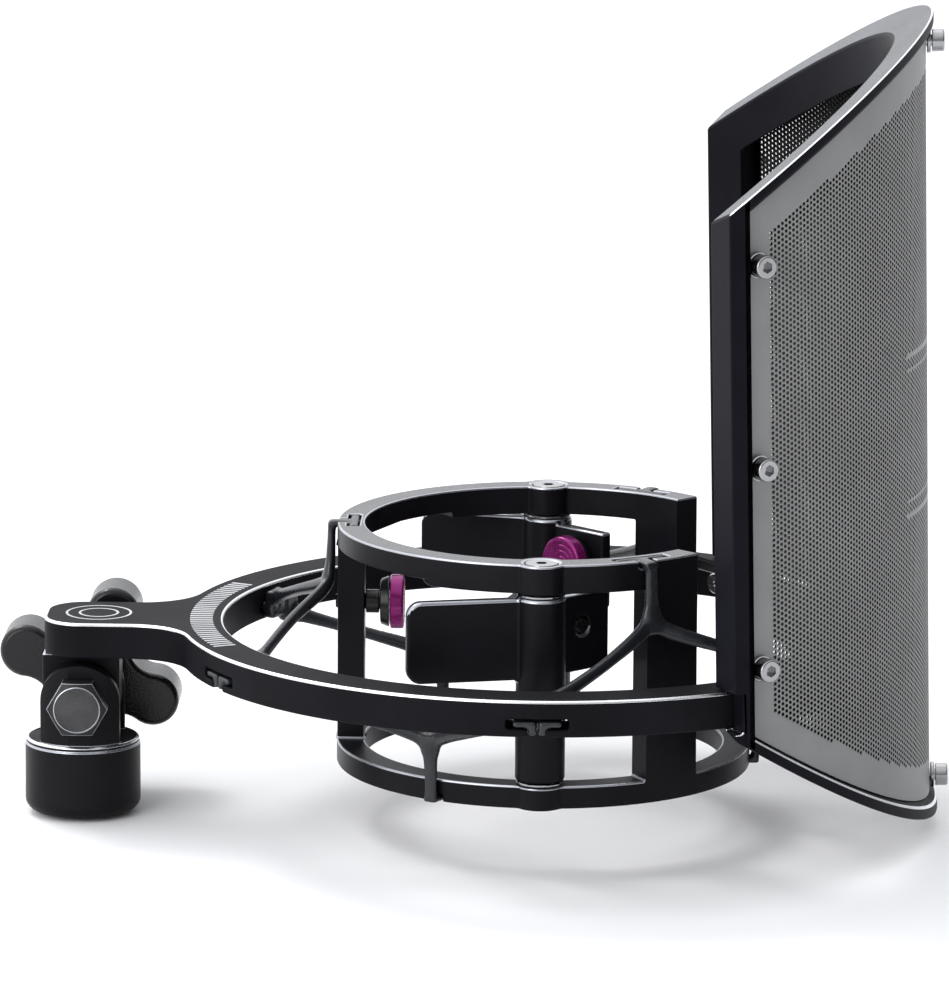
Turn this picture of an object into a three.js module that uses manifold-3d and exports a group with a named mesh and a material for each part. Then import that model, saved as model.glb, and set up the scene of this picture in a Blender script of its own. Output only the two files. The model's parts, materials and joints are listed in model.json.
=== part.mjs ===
// Microphone shock mount with an integral curved pop shield.
// Millimetres, +Z up. The origin is the middle of the stand collar's bottom face, where a stand screws in.
// +X points from the stand towards the singer; the object is built about the plane y = 0.
import * as THREE from 'three';
import { mergeVertices } from 'three/addons/utils/BufferGeometryUtils.js';
import Module from 'manifold-3d';

const wasm = await Module();
wasm.setup();

// ---------------------------------------------------------------- driving dimensions
const GAP = 0.3; // clearance left between pieces that touch
const DEG = Math.PI / 180;

// stand adapter and tilt swivel
const COLLAR_R = 14.25;
const COLLAR_H = 18.5;
const SOCKET_R = 7.9; // 5/8 inch stand thread
const SOCKET_DEPTH = 15;
const INSERT_BORE_R = 4.8; // 3/8 inch adapter thread
const BOLT_Z = 29; // tilt axis above the stand face
const BOLT_R = 4; // M8
const EAR_R = 9.8; // half width of the ears, and their rounded top
const EAR_IN = 6.6; // inner and outer faces of the ears, from y = 0
const EAR_OUT = 13;
const TONGUE_HALF = 5.4;
const TONGUE_SCREW_R = 2.3; // M5 screw that joins the tongue to the arm
const BOLT_RING_R = 4.4; // bore of the rings on the bolt
const HEX_FLATS = 13; // M8 head, across its flats
const HEX_H = 5.3;
const KNOB_FRONT = 19; // front face of the knob's lobes
const KNOB_T = 15;
const KNOB_R = 23.5; // to the tips of the lobes
const KNOB_LOBE_R = 6.6;
const KNOB_TURN = 21; // angle of the first lobe, degrees
const KNOB_COVER = 2.5; // closed end of the knob over its insert
const KNOB_NECK = 3.6;
const KNOB_INSERT_R = 6.5; // across the corners of its hexagon

// arm and hoop, in the frame of the microphone: z = 0 at the hoop's top face
const MIC_X = 114; // stand axis to microphone axis
const ARM_TOP_Z = 49.5;
const HOOP_R = 90;
const HOOP_IN_R = 79;
const HOOP_H = 8.8;
const ARM_HALF_W = 13.1;
const ARM_END_X = -123;
const ARM_END_R = 9.5;
const NECK_R = 15; // fillet between arm and hoop
const SLOT_TOP = -4.5; // tee slots that hold the suspension feet
const SLOT_NECK = -7;
const SLOT_W = 14.8;
const SLOT_NECK_W = 4.8;
const FOOT_TURN = 30; // between an arm's middle and either of its feet
const FOOT_AZIMUTHS = [30, 90, 150, 210, 270, 330];

// cage that carries the microphone
const CAGE_R = 51;
const CAGE_IN_R = 44.2;
const CAGE_TOP = 24.2;
const CAGE_RING_H = 5.6;
const CAGE_MID = -5.75; // mid-height of cage, feet and suspension
const CAGE_BOTTOM = 2 * CAGE_MID - CAGE_TOP;
const CAGE_MOUTH = 42.5; // the upper ring stops this far either side of +X
const POST_END = 60;
const PIN_RING_R = 47.7; // circle of the jaw pins
const BOSS_R = 6;
const PIN_R = 2.6;
const RING_DROP = 1.5; // extra depth of the upper ring near its bosses
const HEAD_W = 14; // tee heads of the suspension arms
const HEAD_T = 1.8;

// clamp jaws
const JAW_TOP = 15.8;
const JAW_BOTTOM = -4.2;
const JAW_FLARE = 14; // the finger plates stand out by this angle
const JAW_PLATE_L = 33;
const JAW_ARM_L = 22;
const JAW_ARM_ANGLE = 44.5; // between the pad arm and +X
const JAW_T = 3.2;
const PAD_R = 6.7;
const JAW_PAD_Z = 7; // height of the pads on the jaws
const REAR_PAD_Z = 3.8;
const STUD_R = 2;
const STUD_HOLE_R = 2.3;
const NUT_H = 3.2; // nut behind the rear pad
const ARM_OFFSET = 0.9; // of a pad arm from its pin
const SPRING_ROOM_R = 4.7;
const SPRING_ROOM_H = 11;
const SCREW_THREAD_R = 1.25; // countersunk screws in the pins' ends

// pop shield
const SHIELD_R = 94.5;
const SHIELD_IN_R = 84.5;
const SHIELD_END = 62; // half angle of the sector
const SHIELD_X = 2; // its centre of curvature, ahead of the microphone's axis
const SHIELD_LEAN = -1.4; // degrees, its top towards the microphone
const LEAN_X = 47; // the lean turns about this line, level with the hoop
const LEAN_Z = -HOOP_H / 2;
const SHIELD_MID = 51.9; // mid-height of its curved side
const SHIELD_HALF_H = 99.2; // half height at the front
const SHIELD_SLOPE = 0.727; // drop of the rims towards the posts
const LIP = 2.6; // of the frame past the mesh, along the rims
const MESH_BORDER = 6.5; // of the mesh over the window's edge
const MESH_R = 92.6;
const MESH_T = 0.8;
const MESH_END = 59; // half angles of the mesh and of the window behind it
const WINDOW_END = 55.1;
const SCREW_AZIMUTH = 57; // the mesh screws: three at either side, and one at either rim in front
const SCREW_MID = 53.7;
const SCREW_PITCH = 48;
const SCREW_FRONT_Z = 91.3;
const M3_SHANK_R = 1.45;
const M3_BORE_R = 1.8;
const M3_HEAD_R = 2.75;
const M3_HEAD_H = 3;
const M3_WASHER_R = 3.1;
const M3_WASHER_T = 0.9;
const HOLDER_AZIMUTH = 56; // screws that hold the shield on the hoop

// ---------------------------------------------------------------- solids
function solid(shape) {
  if (!shape.isBufferGeometry) return shape;
  const bare = shape.clone();
  bare.deleteAttribute('normal');
  bare.deleteAttribute('uv');
  const merged = mergeVertices(bare, 1e-4);
  const index = merged.index.array;
  const kept = [];
  for (let i = 0; i < index.length; i += 3) {
    const [a, b, c] = [index[i], index[i + 1], index[i + 2]];
    if (a !== b && b !== c && c !== a) kept.push(a, b, c);
  }
  const vertProperties = new Float32Array(merged.attributes.position.array);
  return new wasm.Manifold(new wasm.Mesh({ numProp: 3, vertProperties, triVerts: new Uint32Array(kept) }));
}

const join = (...shapes) => shapes.map(solid).reduce((all, next) => all.add(next));
const cut = (body, ...tools) => tools.map(solid).reduce((all, next) => all.subtract(next), solid(body));
const common = (a, b) => solid(a).intersect(solid(b));

function geometryOf(body) {
  const mesh = body.getMesh();
  const geometry = new THREE.BufferGeometry();
  geometry.setAttribute('position', new THREE.BufferAttribute(new Float32Array(mesh.vertProperties), 3));
  geometry.setIndex(new THREE.BufferAttribute(new Uint32Array(mesh.triVerts), 1));
  geometry.computeVertexNormals();
  return geometry;
}

// ---------------------------------------------------------------- shapes
const box = (x0, x1, y0, y1, z0, z1) => new THREE.BoxGeometry(
  Math.abs(x1 - x0), Math.abs(y1 - y0), Math.abs(z1 - z0),
).translate((x0 + x1) / 2, (y0 + y1) / 2, (z0 + z1) / 2);

const rodZ = (r, z0, z1, sides = 24) => new THREE.CylinderGeometry(r, r, z1 - z0, sides)
  .rotateX(Math.PI / 2).translate(0, 0, (z0 + z1) / 2);

const rodX = (r, x0, x1, sides = 24) => rodZ(r, x0, x1, sides).rotateY(Math.PI / 2);
const rodY = (r, y0, y1, sides = 24) => rodZ(r, -y1, -y0, sides).rotateX(Math.PI / 2);

// a profile of [radius, z] points turned about Z
const turned = (profile, sides) => new THREE.LatheGeometry(
  profile.map(([r, z]) => new THREE.Vector2(r, z)), sides).rotateX(Math.PI / 2);

const washer = (rIn, rOut, z0, z1, sides = 16) => turned(
  [[rIn, z0], [rOut, z0], [rOut, z1], [rIn, z1], [rIn, z0]], sides);

function prism(points, z0, z1) {
  const shape = new THREE.Shape(points.map(([x, y]) => new THREE.Vector2(x, y)));
  return new THREE.ExtrudeGeometry(shape, { depth: z1 - z0, bevelEnabled: false }).translate(0, 0, z0);
}

function arc(cx, cy, r, from, to, steps) {
  const points = [];
  for (let i = 0; i <= steps; i += 1) {
    const a = (from + ((to - from) * i) / steps) * DEG;
    points.push([cx + r * Math.cos(a), cy + r * Math.sin(a)]);
  }
  return points;
}

// a curved bar between two radii and two azimuths
function band(rIn, rOut, from, to, z0, z1, steps) {
  const outline = [...arc(0, 0, rOut, from, to, steps), ...arc(0, 0, rIn, to, from, steps)];
  return prism(outline, z0, z1);
}

// a tube of oval section along a curve through the points
function limb(points, halfWidth, halfThickness, steps, sides = 8) {
  const path = new THREE.CatmullRomCurve3(points.map((p) => new THREE.Vector3(...p)));
  const section = [];
  for (let i = 0; i < sides; i += 1) {
    const a = (2 * Math.PI * (i + 0.5)) / sides;
    section.push(new THREE.Vector2(halfWidth * Math.cos(a), halfThickness * Math.sin(a)));
  }
  return new THREE.ExtrudeGeometry(new THREE.Shape(section), { steps, extrudePath: path });
}

const atAzimuth = (shape, azimuth) => shape.rotateZ(azimuth * DEG);
const radial = (shape, { azimuth, z }) => atAzimuth(shape.translate(0, 0, z), azimuth);
const holderPlace = (side) => ({ azimuth: side * HOLDER_AZIMUTH, z: -HOOP_H / 2 });
const polar = (r, azimuth, z) => [r * Math.cos(azimuth * DEG), r * Math.sin(azimuth * DEG), z];

// ---------------------------------------------------------------- materials and meshes
const finish = (color, roughness, metalness) => ({ color, roughness, metalness });
const SATIN_BLACK = finish('#1b1c21', 0.45, 0.1);
const MOULDED_BLACK = finish('#17181b', 0.6, 0);
const RUBBER_BLACK = finish('#202226', 0.5, 0);
const PURPLE = finish('#5e0a4c', 0.35, 0.3);
const STEEL = finish('#8d8f8e', 0.35, 1);
const CHROME = finish('#c9cbcd', 0.15, 1);
const BLACK_STEEL = finish('#232427', 0.4, 0.6);
const BRASS = finish('#b39148', 0.35, 1);
const NYLON = finish('#2b2c2e', 0.7, 0);

function piece(name, body, look) {
  const mesh = new THREE.Mesh(geometryOf(solid(body)), new THREE.MeshStandardMaterial(look));
  mesh.name = name;
  return mesh;
}

// ---------------------------------------------------------------- stand adapter
function roundedPlate(halfWidth, bottomZ, y0, y1) {
  const outline = [[-halfWidth, bottomZ], [halfWidth, bottomZ], ...arc(0, BOLT_Z, halfWidth, 0, 180, 10)];
  return prism(outline, -y1, -y0).rotateX(Math.PI / 2);
}

function standCollar() {
  const chamfer = 1;
  const foot = 3;
  const body = turned([
    [0, 0], [COLLAR_R - foot, 0], [COLLAR_R, foot], [COLLAR_R, COLLAR_H - chamfer],
    [COLLAR_R - chamfer, COLLAR_H], [0, COLLAR_H],
  ], 28);
  const earRoot = COLLAR_H - 2;
  const ears = [
    roundedPlate(EAR_R, earRoot, -EAR_OUT, -EAR_IN),
    roundedPlate(EAR_R, earRoot, EAR_IN, EAR_OUT),
  ];
  const inside = rodZ(COLLAR_R - chamfer, 0, BOLT_Z + 2 * EAR_R, 28);
  const earBodies = ears.map((ear) => common(ear, inside));
  const socket = rodZ(SOCKET_R + GAP, -1, SOCKET_DEPTH, 24);
  const bore = rodY(BOLT_R + GAP, -20, 20).translate(0, 0, BOLT_Z);
  return cut(join(body, ...earBodies), socket, bore);
}

function threadInsert() {
  const top = SOCKET_DEPTH - GAP;
  const mouth = 0.8;
  return turned([
    [INSERT_BORE_R + mouth, 0.4], [SOCKET_R, 0.4], [SOCKET_R, top], [INSERT_BORE_R, top],
    [INSERT_BORE_R, 0.4 + mouth], [INSERT_BORE_R + mouth, 0.4],
  ], 20);
}

function tiltBolt() {
  const back = -EAR_OUT - GAP;
  const corner = HEX_FLATS / Math.sqrt(3);
  const head = rodY(corner, back - HEX_H, back, 6).rotateY(30 * DEG);
  const profile = [[0, 0], [corner + 2, 0], [corner + 2, HEX_H - 1.8], [corner - 1.4, HEX_H], [0, HEX_H]];
  const dome = turned(profile, 24).rotateX(Math.PI / 2).translate(0, back, 0);
  const shank = rodY(BOLT_R, back - 1, KNOB_FRONT + KNOB_T - 3);
  return join(common(head, dome), shank);
}

const ringY = (rIn, rOut, y0, y1) => washer(rIn, rOut, -y1, -y0).rotateX(Math.PI / 2);

// ---------------------------------------------------------------- clamp knob
function clampKnob() {
  const lobes = [0, 90, 180, 270].map((turn) => {
    const a = KNOB_TURN + turn;
    const reach = KNOB_R - KNOB_LOBE_R;
    const root = KNOB_LOBE_R - 1.4;
    const outline = [...arc(reach, 0, KNOB_LOBE_R, -90, 90, 8), [0, root], [0, -root]];
    return atAzimuth(prism(outline, 0, KNOB_T), a);
  });
  const core = rodZ(11, 0, KNOB_T, 24);
  const neck = rodZ(8, -KNOB_NECK, 1, 24);
  const pocket = rodZ(KNOB_INSERT_R + GAP, -KNOB_NECK - 1, KNOB_T - KNOB_COVER, 6);
  return cut(join(core, neck, ...lobes), pocket);
}

function knobInsert() {
  const sleeve = washer(BOLT_R + GAP, 9, 0.2 - KNOB_NECK, KNOB_T - KNOB_COVER - 2 * GAP, 24);
  return common(sleeve, rodZ(KNOB_INSERT_R, -10, KNOB_T, 6));
}

// ---------------------------------------------------------------- arm, tongue and hoop
function swivelTongue() {
  const top = ARM_TOP_Z - HOOP_H - GAP;
  const half = 9.5;
  const outline = [[half, top], [-half, top], ...arc(0, BOLT_Z, half, 180, 360, 10)];
  const plate = prism(outline, -TONGUE_HALF, TONGUE_HALF).rotateX(Math.PI / 2);
  const bore = rodY(BOLT_R + GAP, -20, 20).translate(0, 0, BOLT_Z);
  const screwHole = rodZ(TONGUE_SCREW_R + GAP, top - 4, top + 1, 16);
  return cut(plate, bore, screwHole);
}

function armOutline() {
  const r = ARM_END_R;
  const w = ARM_HALF_W;
  const neckX = -Math.sqrt((HOOP_R + NECK_R) ** 2 - (w + NECK_R) ** 2);
  const neckY = w + NECK_R;
  const meet = Math.atan2(neckY, -neckX) / DEG;
  return [
    ...arc(ARM_END_X + r, w - r, r, 180, 90, 6),
    ...arc(neckX, neckY, NECK_R, 270, 360 - meet, 6),
    ...arc(0, 0, HOOP_R, 180 - meet, -180 + meet, 54).slice(1, -1),
    ...arc(neckX, -neckY, NECK_R, meet, 90, 6),
    ...arc(ARM_END_X + r, r - w, r, 270, 180, 6),
  ];
}

function teeSlot(azimuth) {
  const inner = HOOP_IN_R - 3;
  const outer = HOOP_R + 3;
  const head = box(inner, outer, -SLOT_W / 2, SLOT_W / 2, SLOT_NECK, SLOT_TOP);
  const neck = box(inner, outer, -SLOT_NECK_W / 2, SLOT_NECK_W / 2, -HOOP_H - 1, SLOT_NECK + 0.01);
  return [atAzimuth(head, azimuth), atAzimuth(neck, azimuth)];
}

function armHoop() {
  const chamfer = 0.8;
  const shape = new THREE.Shape(armOutline().map(([x, y]) => new THREE.Vector2(x, y)));
  shape.holes.push(new THREE.Path(arc(0, 0, HOOP_IN_R, 0, 354, 59).map(([x, y]) => new THREE.Vector2(x, y))));
  const slab = new THREE.ExtrudeGeometry(shape, {
    depth: HOOP_H - 2 * chamfer, bevelThickness: chamfer, bevelSize: chamfer, bevelOffset: -chamfer,
    bevelSegments: 1,
  }).translate(0, 0, chamfer - HOOP_H);
  const screwHole = rodZ(TONGUE_SCREW_R + GAP, -HOOP_H - 1, -3, 16).translate(-MIC_X, 0, 0);
  const shieldHoles = [1, -1].map((s) => radial(rodX(M3_BORE_R, 76, 95, 12), holderPlace(s)));
  return cut(slab, ...FOOT_AZIMUTHS.flatMap(teeSlot), screwHole, ...shieldHoles);
}

function tongueScrew() {
  const drop = ARM_TOP_Z - HOOP_H;
  return rodZ(TONGUE_SCREW_R, drop - 4, drop + HOOP_H - 3 - GAP, 16);
}

// ---------------------------------------------------------------- suspension
// Drawn at azimuth 0. A lower arm mirrors an upper one about the cage's mid-height, all but its tee feet,
// which enter the hoop from below on both.
function suspensionArm(up) {
  const level = (z) => (up ? z : 2 * CAGE_MID - z);
  const inner = HOOP_IN_R - 3.2;
  const outer = CAGE_R + GAP;
  const foot = (side) => {
    const near = -side * 0.2;
    const far = -side * (SLOT_W / 2 - 1.5);
    return [
      box(inner, HOOP_R + 0.2, near, far, SLOT_NECK + GAP, SLOT_TOP - 0.6),
      box(inner, HOOP_R + 0.2, near, -side * 2.1, -HOOP_H + GAP, SLOT_NECK + 0.5),
      box(inner, HOOP_IN_R - GAP, near, far, level(-HOOP_H + GAP), level(-1.4)),
    ].map((shape) => atAzimuth(shape, FOOT_TURN * side));
  };
  const leg = (side) => limb([
    [CAGE_R + 2, 0, 9.6], [CAGE_R + 3.4, side * 5, 7.2], polar(CAGE_R + 12.5, side * 16, 2.6),
    polar(HOOP_IN_R - 3.5, side * 26.5, -2.6), polar(HOOP_IN_R - 1.8, side * 28.5, -3.6),
  ].map(([x, y, z]) => [x, y, level(z)]), 1.9, 1.5, 9, 6);
  const recess = level(CAGE_TOP - HEAD_T + GAP);
  const stem = box(outer, outer + 2.2, -2, 2, level(7.6), level(CAGE_TOP));
  const bridge = box(CAGE_IN_R + 3.6, outer + 2.2, -2, 2, recess, level(CAGE_TOP));
  const head = box(CAGE_IN_R + 1.5, CAGE_IN_R + 4, -HEAD_W / 2, HEAD_W / 2, recess, level(CAGE_TOP));
  return join(stem, bridge, head, leg(1), leg(-1), ...foot(1), ...foot(-1));
}

function suspension() {
  const group = new THREE.Group();
  [true, false].forEach((up) => {
    const shape = suspensionArm(up);
    [0, 120, 240].forEach((turn) => {
      const azimuth = turn + (up ? 60 : 0);
      const arm = piece(`suspension_${up ? 'upper' : 'lower'}_${azimuth}`, shape, RUBBER_BLACK);
      arm.rotation.z = azimuth * DEG;
      group.add(arm);
    });
  });
  return group;
}

// ---------------------------------------------------------------- cage
function teeRecess(azimuth, up) {
  const span = HEAD_W / 2 + GAP;
  const [z0, z1] = up ? [CAGE_TOP - HEAD_T, CAGE_TOP + 1] : [CAGE_BOTTOM - 1, CAGE_BOTTOM + HEAD_T];
  const head = box(CAGE_IN_R + 1.5 - GAP, CAGE_IN_R + 4 + GAP, -span, span, z0, z1);
  const stem = box(CAGE_IN_R + 3, CAGE_R + 2, -2 - GAP, 2 + GAP, z0, z1);
  return [atAzimuth(head, azimuth), atAzimuth(stem, azimuth)];
}

function pinHoles(side) {
  const hole = rodZ(PIN_R + GAP, CAGE_BOTTOM - 1, CAGE_TOP + 1, 12).translate(0, side * PIN_RING_R, 0);
  const sink = (z0, z1, r0, r1) => new THREE.CylinderGeometry(r1, r0, z1 - z0, 12)
    .rotateX(Math.PI / 2).translate(0, side * PIN_RING_R, (z0 + z1) / 2);
  return [
    hole,
    sink(CAGE_TOP - 2.1, CAGE_TOP + 0.3, 2.4, 4.8),
    sink(CAGE_BOTTOM - 0.3, CAGE_BOTTOM + 2.1, 4.8, 2.4),
  ];
}

function micCage() {
  const topBar = band(CAGE_IN_R, CAGE_R, CAGE_MOUTH, 360 - CAGE_MOUTH, CAGE_TOP - CAGE_RING_H, CAGE_TOP, 34);
  const drops = [1, -1].map((s) => band(CAGE_IN_R, CAGE_R, 90 * s - 32, 90 * s + 32,
    CAGE_TOP - CAGE_RING_H - RING_DROP, CAGE_TOP - 2, 6));
  const bottomRing = washer(CAGE_IN_R, CAGE_R, CAGE_BOTTOM, CAGE_BOTTOM + CAGE_RING_H, 42);
  const frontPosts = [1, -1].map((s) => band(CAGE_IN_R, CAGE_R, s * CAGE_MOUTH, s * POST_END,
    CAGE_BOTTOM + 1, CAGE_TOP - 1, 5));
  const backPost = box(-CAGE_R + 0.2, -CAGE_IN_R, -4, 4, CAGE_BOTTOM + 1, CAGE_TOP - 1);
  const bosses = [1, -1].flatMap((s) => [
    rodZ(BOSS_R, CAGE_TOP - CAGE_RING_H - RING_DROP, CAGE_TOP, 16).translate(0, s * PIN_RING_R, 0),
    rodZ(BOSS_R, CAGE_BOTTOM, CAGE_BOTTOM + CAGE_RING_H, 16).translate(0, s * PIN_RING_R, 0),
  ]);
  const padHole = rodX(STUD_HOLE_R, -60, -40, 16).translate(0, 0, REAR_PAD_Z);
  const recesses = [60, 180, 300].flatMap((a) => [...teeRecess(a, true), ...teeRecess(a - 60, false)]);
  return cut(join(topBar, ...drops, bottomRing, ...frontPosts, backPost, ...bosses),
    ...recesses, ...pinHoles(1), ...pinHoles(-1), padHole);
}

// ---------------------------------------------------------------- clamp jaws
const BARREL_TOP = CAGE_TOP - CAGE_RING_H - RING_DROP - 1.1;
const BARREL_BOTTOM = CAGE_BOTTOM + CAGE_RING_H + 1.1;

// the finger plate, drawn in x-z with its free upper corner rounded
function fingerPlate(side) {
  const length = JAW_PLATE_L;
  const r = 3.5;
  const outline = [
    [0, JAW_BOTTOM], [0, JAW_TOP], ...arc(-length + r, JAW_TOP - r, r, 90, 180, 5),
    ...arc(-length + r, JAW_BOTTOM + r, r, 180, 270, 4),
  ];
  const plate = prism(outline, -JAW_T / 2, JAW_T / 2).rotateX(Math.PI / 2);
  return plate.rotateZ(-side * JAW_FLARE * DEG).translate(0, side * PIN_RING_R, 0);
}

function padArm(side) {
  const arm = box(0, JAW_ARM_L, -JAW_T / 2, JAW_T / 2, JAW_BOTTOM, JAW_TOP - 0.8);
  return arm.translate(0, -side * ARM_OFFSET, 0).rotateZ(-side * JAW_ARM_ANGLE * DEG)
    .translate(0, side * PIN_RING_R, 0);
}

// from a frame whose +Z is the pad's face direction to its place on a jaw
function onJaw(shape, side) {
  const along = 13.2;
  const face = ARM_OFFSET + JAW_T / 2 + GAP;
  return shape.rotateX(side * Math.PI / 2).translate(along, -side * face, JAW_PAD_Z)
    .rotateZ(-side * JAW_ARM_ANGLE * DEG).translate(0, side * PIN_RING_R, 0);
}

function jaw(side) {
  const barrel = rodZ(BOSS_R, BARREL_BOTTOM, BARREL_TOP, 24).translate(0, side * PIN_RING_R, 0);
  const pinHole = rodZ(PIN_R + GAP, BARREL_BOTTOM - 1, BARREL_TOP + 1, 16).translate(0, side * PIN_RING_R, 0);
  const springRoom = rodZ(SPRING_ROOM_R, BARREL_BOTTOM - 1, BARREL_BOTTOM + SPRING_ROOM_H, 20)
    .translate(0, side * PIN_RING_R, 0);
  const padHole = onJaw(rodZ(STUD_HOLE_R, -10, 5, 14), side);
  return cut(join(barrel, fingerPlate(side), padArm(side)), pinHole, springRoom, padHole);
}

function jawPin() {
  const inset = 2.6;
  const thread = 6;
  const [z0, z1] = [CAGE_BOTTOM + inset, CAGE_TOP - inset];
  return cut(rodZ(PIN_R, z0, z1, 18), rodZ(1.6, z0 - 1, z0 + thread, 12), rodZ(1.6, z1 - thread, z1 + 1, 12));
}

function jawSpring() {
  const turns = 3;
  const steps = 8;
  const coil = [];
  const start = BARREL_BOTTOM + 0.8;
  const pitch = (SPRING_ROOM_H - 2.4) / turns;
  for (let i = 0; i <= turns * steps; i += 1) {
    coil.push(polar(SPRING_ROOM_R - 1, (i * 360) / steps, start + (pitch * i) / steps));
  }
  return limb(coil, 0.5, 0.5, turns * steps, 5);
}

function countersunkScrew() {
  return turned([
    [0, -6.6], [SCREW_THREAD_R, -6.4], [SCREW_THREAD_R, -2.0], [2.0, -2.0], [4.0, 0], [1.5, 0], [1.5, -1.6],
    [0, -1.6],
  ], 12);
}

// a threaded stud with its cup; the cup's back is at z = 0 and the thread reaches back from it
const padStud = (reach) => turned([
  [0, -reach], [STUD_R, -reach], [STUD_R, 0], [PAD_R - 1.2, 0.1], [PAD_R - 0.3, 2.2], [0, 2.2],
], 18);

const padDisc = () => turned([[0, 2.5], [PAD_R, 2.5], [PAD_R, 5.2], [PAD_R - 0.7, 5.9], [0, 5.9]], 20);

function clampParts(side, name) {
  const group = new THREE.Group();
  const at = (mesh, z = 0) => {
    mesh.position.set(0, side * PIN_RING_R, z);
    return mesh;
  };
  const shim = (end, z0, z1) => at(piece(`${name}_${end}_washer`, washer(PIN_R + GAP, 5.8, z0, z1), CHROME));
  const low = at(piece(`${name}_lower_screw`, countersunkScrew(), CHROME), CAGE_BOTTOM + 0.1);
  low.rotation.x = Math.PI;
  group.add(
    piece(`${name}_jaw`, jaw(side), SATIN_BLACK),
    piece(`${name}_pad_stud`, onJaw(padStud(JAW_T + 0.5), side), MOULDED_BLACK),
    piece(`${name}_pad`, onJaw(padDisc(), side), PURPLE),
    at(piece(`${name}_jaw_pin`, jawPin(), CHROME)),
    at(piece(`${name}_jaw_spring`, jawSpring(), STEEL)),
    shim('upper', BARREL_TOP + GAP, BARREL_TOP + 0.8),
    shim('lower', BARREL_BOTTOM - 0.8, BARREL_BOTTOM - GAP),
    at(piece(`${name}_upper_screw`, countersunkScrew(), CHROME), CAGE_TOP - 0.1),
    low,
  );
  return group;
}

const solidGeometry = (body) => geometryOf(solid(body));

function rearPad() {
  const group = new THREE.Group();
  const place = (mesh) => {
    mesh.rotation.y = Math.PI / 2;
    mesh.position.set(-CAGE_IN_R + NUT_H + 2 * GAP, 0, REAR_PAD_Z);
    return mesh;
  };
  group.add(
    place(piece('rear_pad_nut', washer(STUD_R + GAP, 2.9, -NUT_H - GAP, -GAP, 12), MOULDED_BLACK)),
    place(piece('rear_pad_stud', padStud(NUT_H + CAGE_R - CAGE_IN_R + 1), MOULDED_BLACK)),
    place(piece('rear_pad', padDisc(), PURPLE)),
  );
  return group;
}

// ---------------------------------------------------------------- pop shield
// side elevation of the shield, inset from its rims by the given distance
function elevation(inset) {
  const tilt = Math.hypot(1, SHIELD_SLOPE);
  const half = (x) => SHIELD_HALF_H - SHIELD_SLOPE * (SHIELD_R - x) - inset * tilt;
  const [x0, x1] = [20, 110];
  const outline = [
    [x0, SHIELD_MID - half(x0)], [x1, SHIELD_MID - half(x1)],
    [x1, SHIELD_MID + half(x1)], [x0, SHIELD_MID + half(x0)],
  ];
  return prism(outline, -SHIELD_R, SHIELD_R).rotateX(Math.PI / 2);
}

const sector = (rIn, rOut, half, steps) => band(rIn, rOut, -half, half, -60, 170, steps);

function shieldScrewPlaces() {
  const sides = [1, -1].flatMap((s) => [-1, 0, 1].map((k) => ({
    azimuth: s * SCREW_AZIMUTH, z: SCREW_MID + k * SCREW_PITCH, label: `${s < 0 ? 'near' : 'far'}_${k + 2}`,
  })));
  return [
    ...sides,
    { azimuth: 0, z: SHIELD_MID + SCREW_FRONT_Z, label: 'front_top' },
    { azimuth: 0, z: SHIELD_MID - SCREW_FRONT_Z, label: 'front_bottom' },
  ];
}

// from the shield's own upright frame to its place on the hoop
const leaned = (body) => geometryOf(solid(body)).translate(SHIELD_X - LEAN_X, 0, -LEAN_Z)
  .rotateY(SHIELD_LEAN * DEG).translate(LEAN_X, 0, LEAN_Z);

function shieldFrame() {
  const outer = common(sector(SHIELD_IN_R, SHIELD_R, SHIELD_END, 26), elevation(0));
  const window = common(sector(SHIELD_IN_R - 3, SHIELD_R + 3, WINDOW_END, 8), elevation(LIP + MESH_BORDER));
  const rebate = common(sector(MESH_R - MESH_T - GAP, SHIELD_R + 3, MESH_END + 0.3, 26), elevation(LIP));
  const hoopRoom = washer(HOOP_IN_R - 5, HOOP_R + GAP, -HOOP_H - GAP, GAP, 60);
  const corner = (s) => band(
    HOOP_R - 1, SHIELD_R + 2, s * (SHIELD_END - 1.4), s * (SHIELD_END + 4), -HOOP_H - GAP, GAP, 2,
  );
  const bores = shieldScrewPlaces().map((place) => radial(rodX(M3_BORE_R, 86.5, 96, 8), place));
  const holders = [1, -1].map((s) => radial(rodX(M3_BORE_R, 85, 93, 12), holderPlace(s)));
  return cut(leaned(cut(outer, window, rebate, corner(1), corner(-1), ...bores)), hoopRoom, ...holders);
}

function shieldMesh() {
  const sheet = common(sector(MESH_R - MESH_T, MESH_R, MESH_END, 26), elevation(LIP + GAP));
  const holes = shieldScrewPlaces().map((place) => radial(rodX(M3_BORE_R, 88, 96, 8), place));
  return leaned(cut(sheet, ...holes));
}

function capScrew() {
  const shank = rodX(M3_SHANK_R, -5.6, 0.5, 8);
  const head = rodX(M3_HEAD_R, 0, M3_HEAD_H, 16);
  const socket = rodX(M3_SHANK_R, 1.4, M3_HEAD_H + 1, 6);
  return cut(join(shank, head), socket);
}

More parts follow.
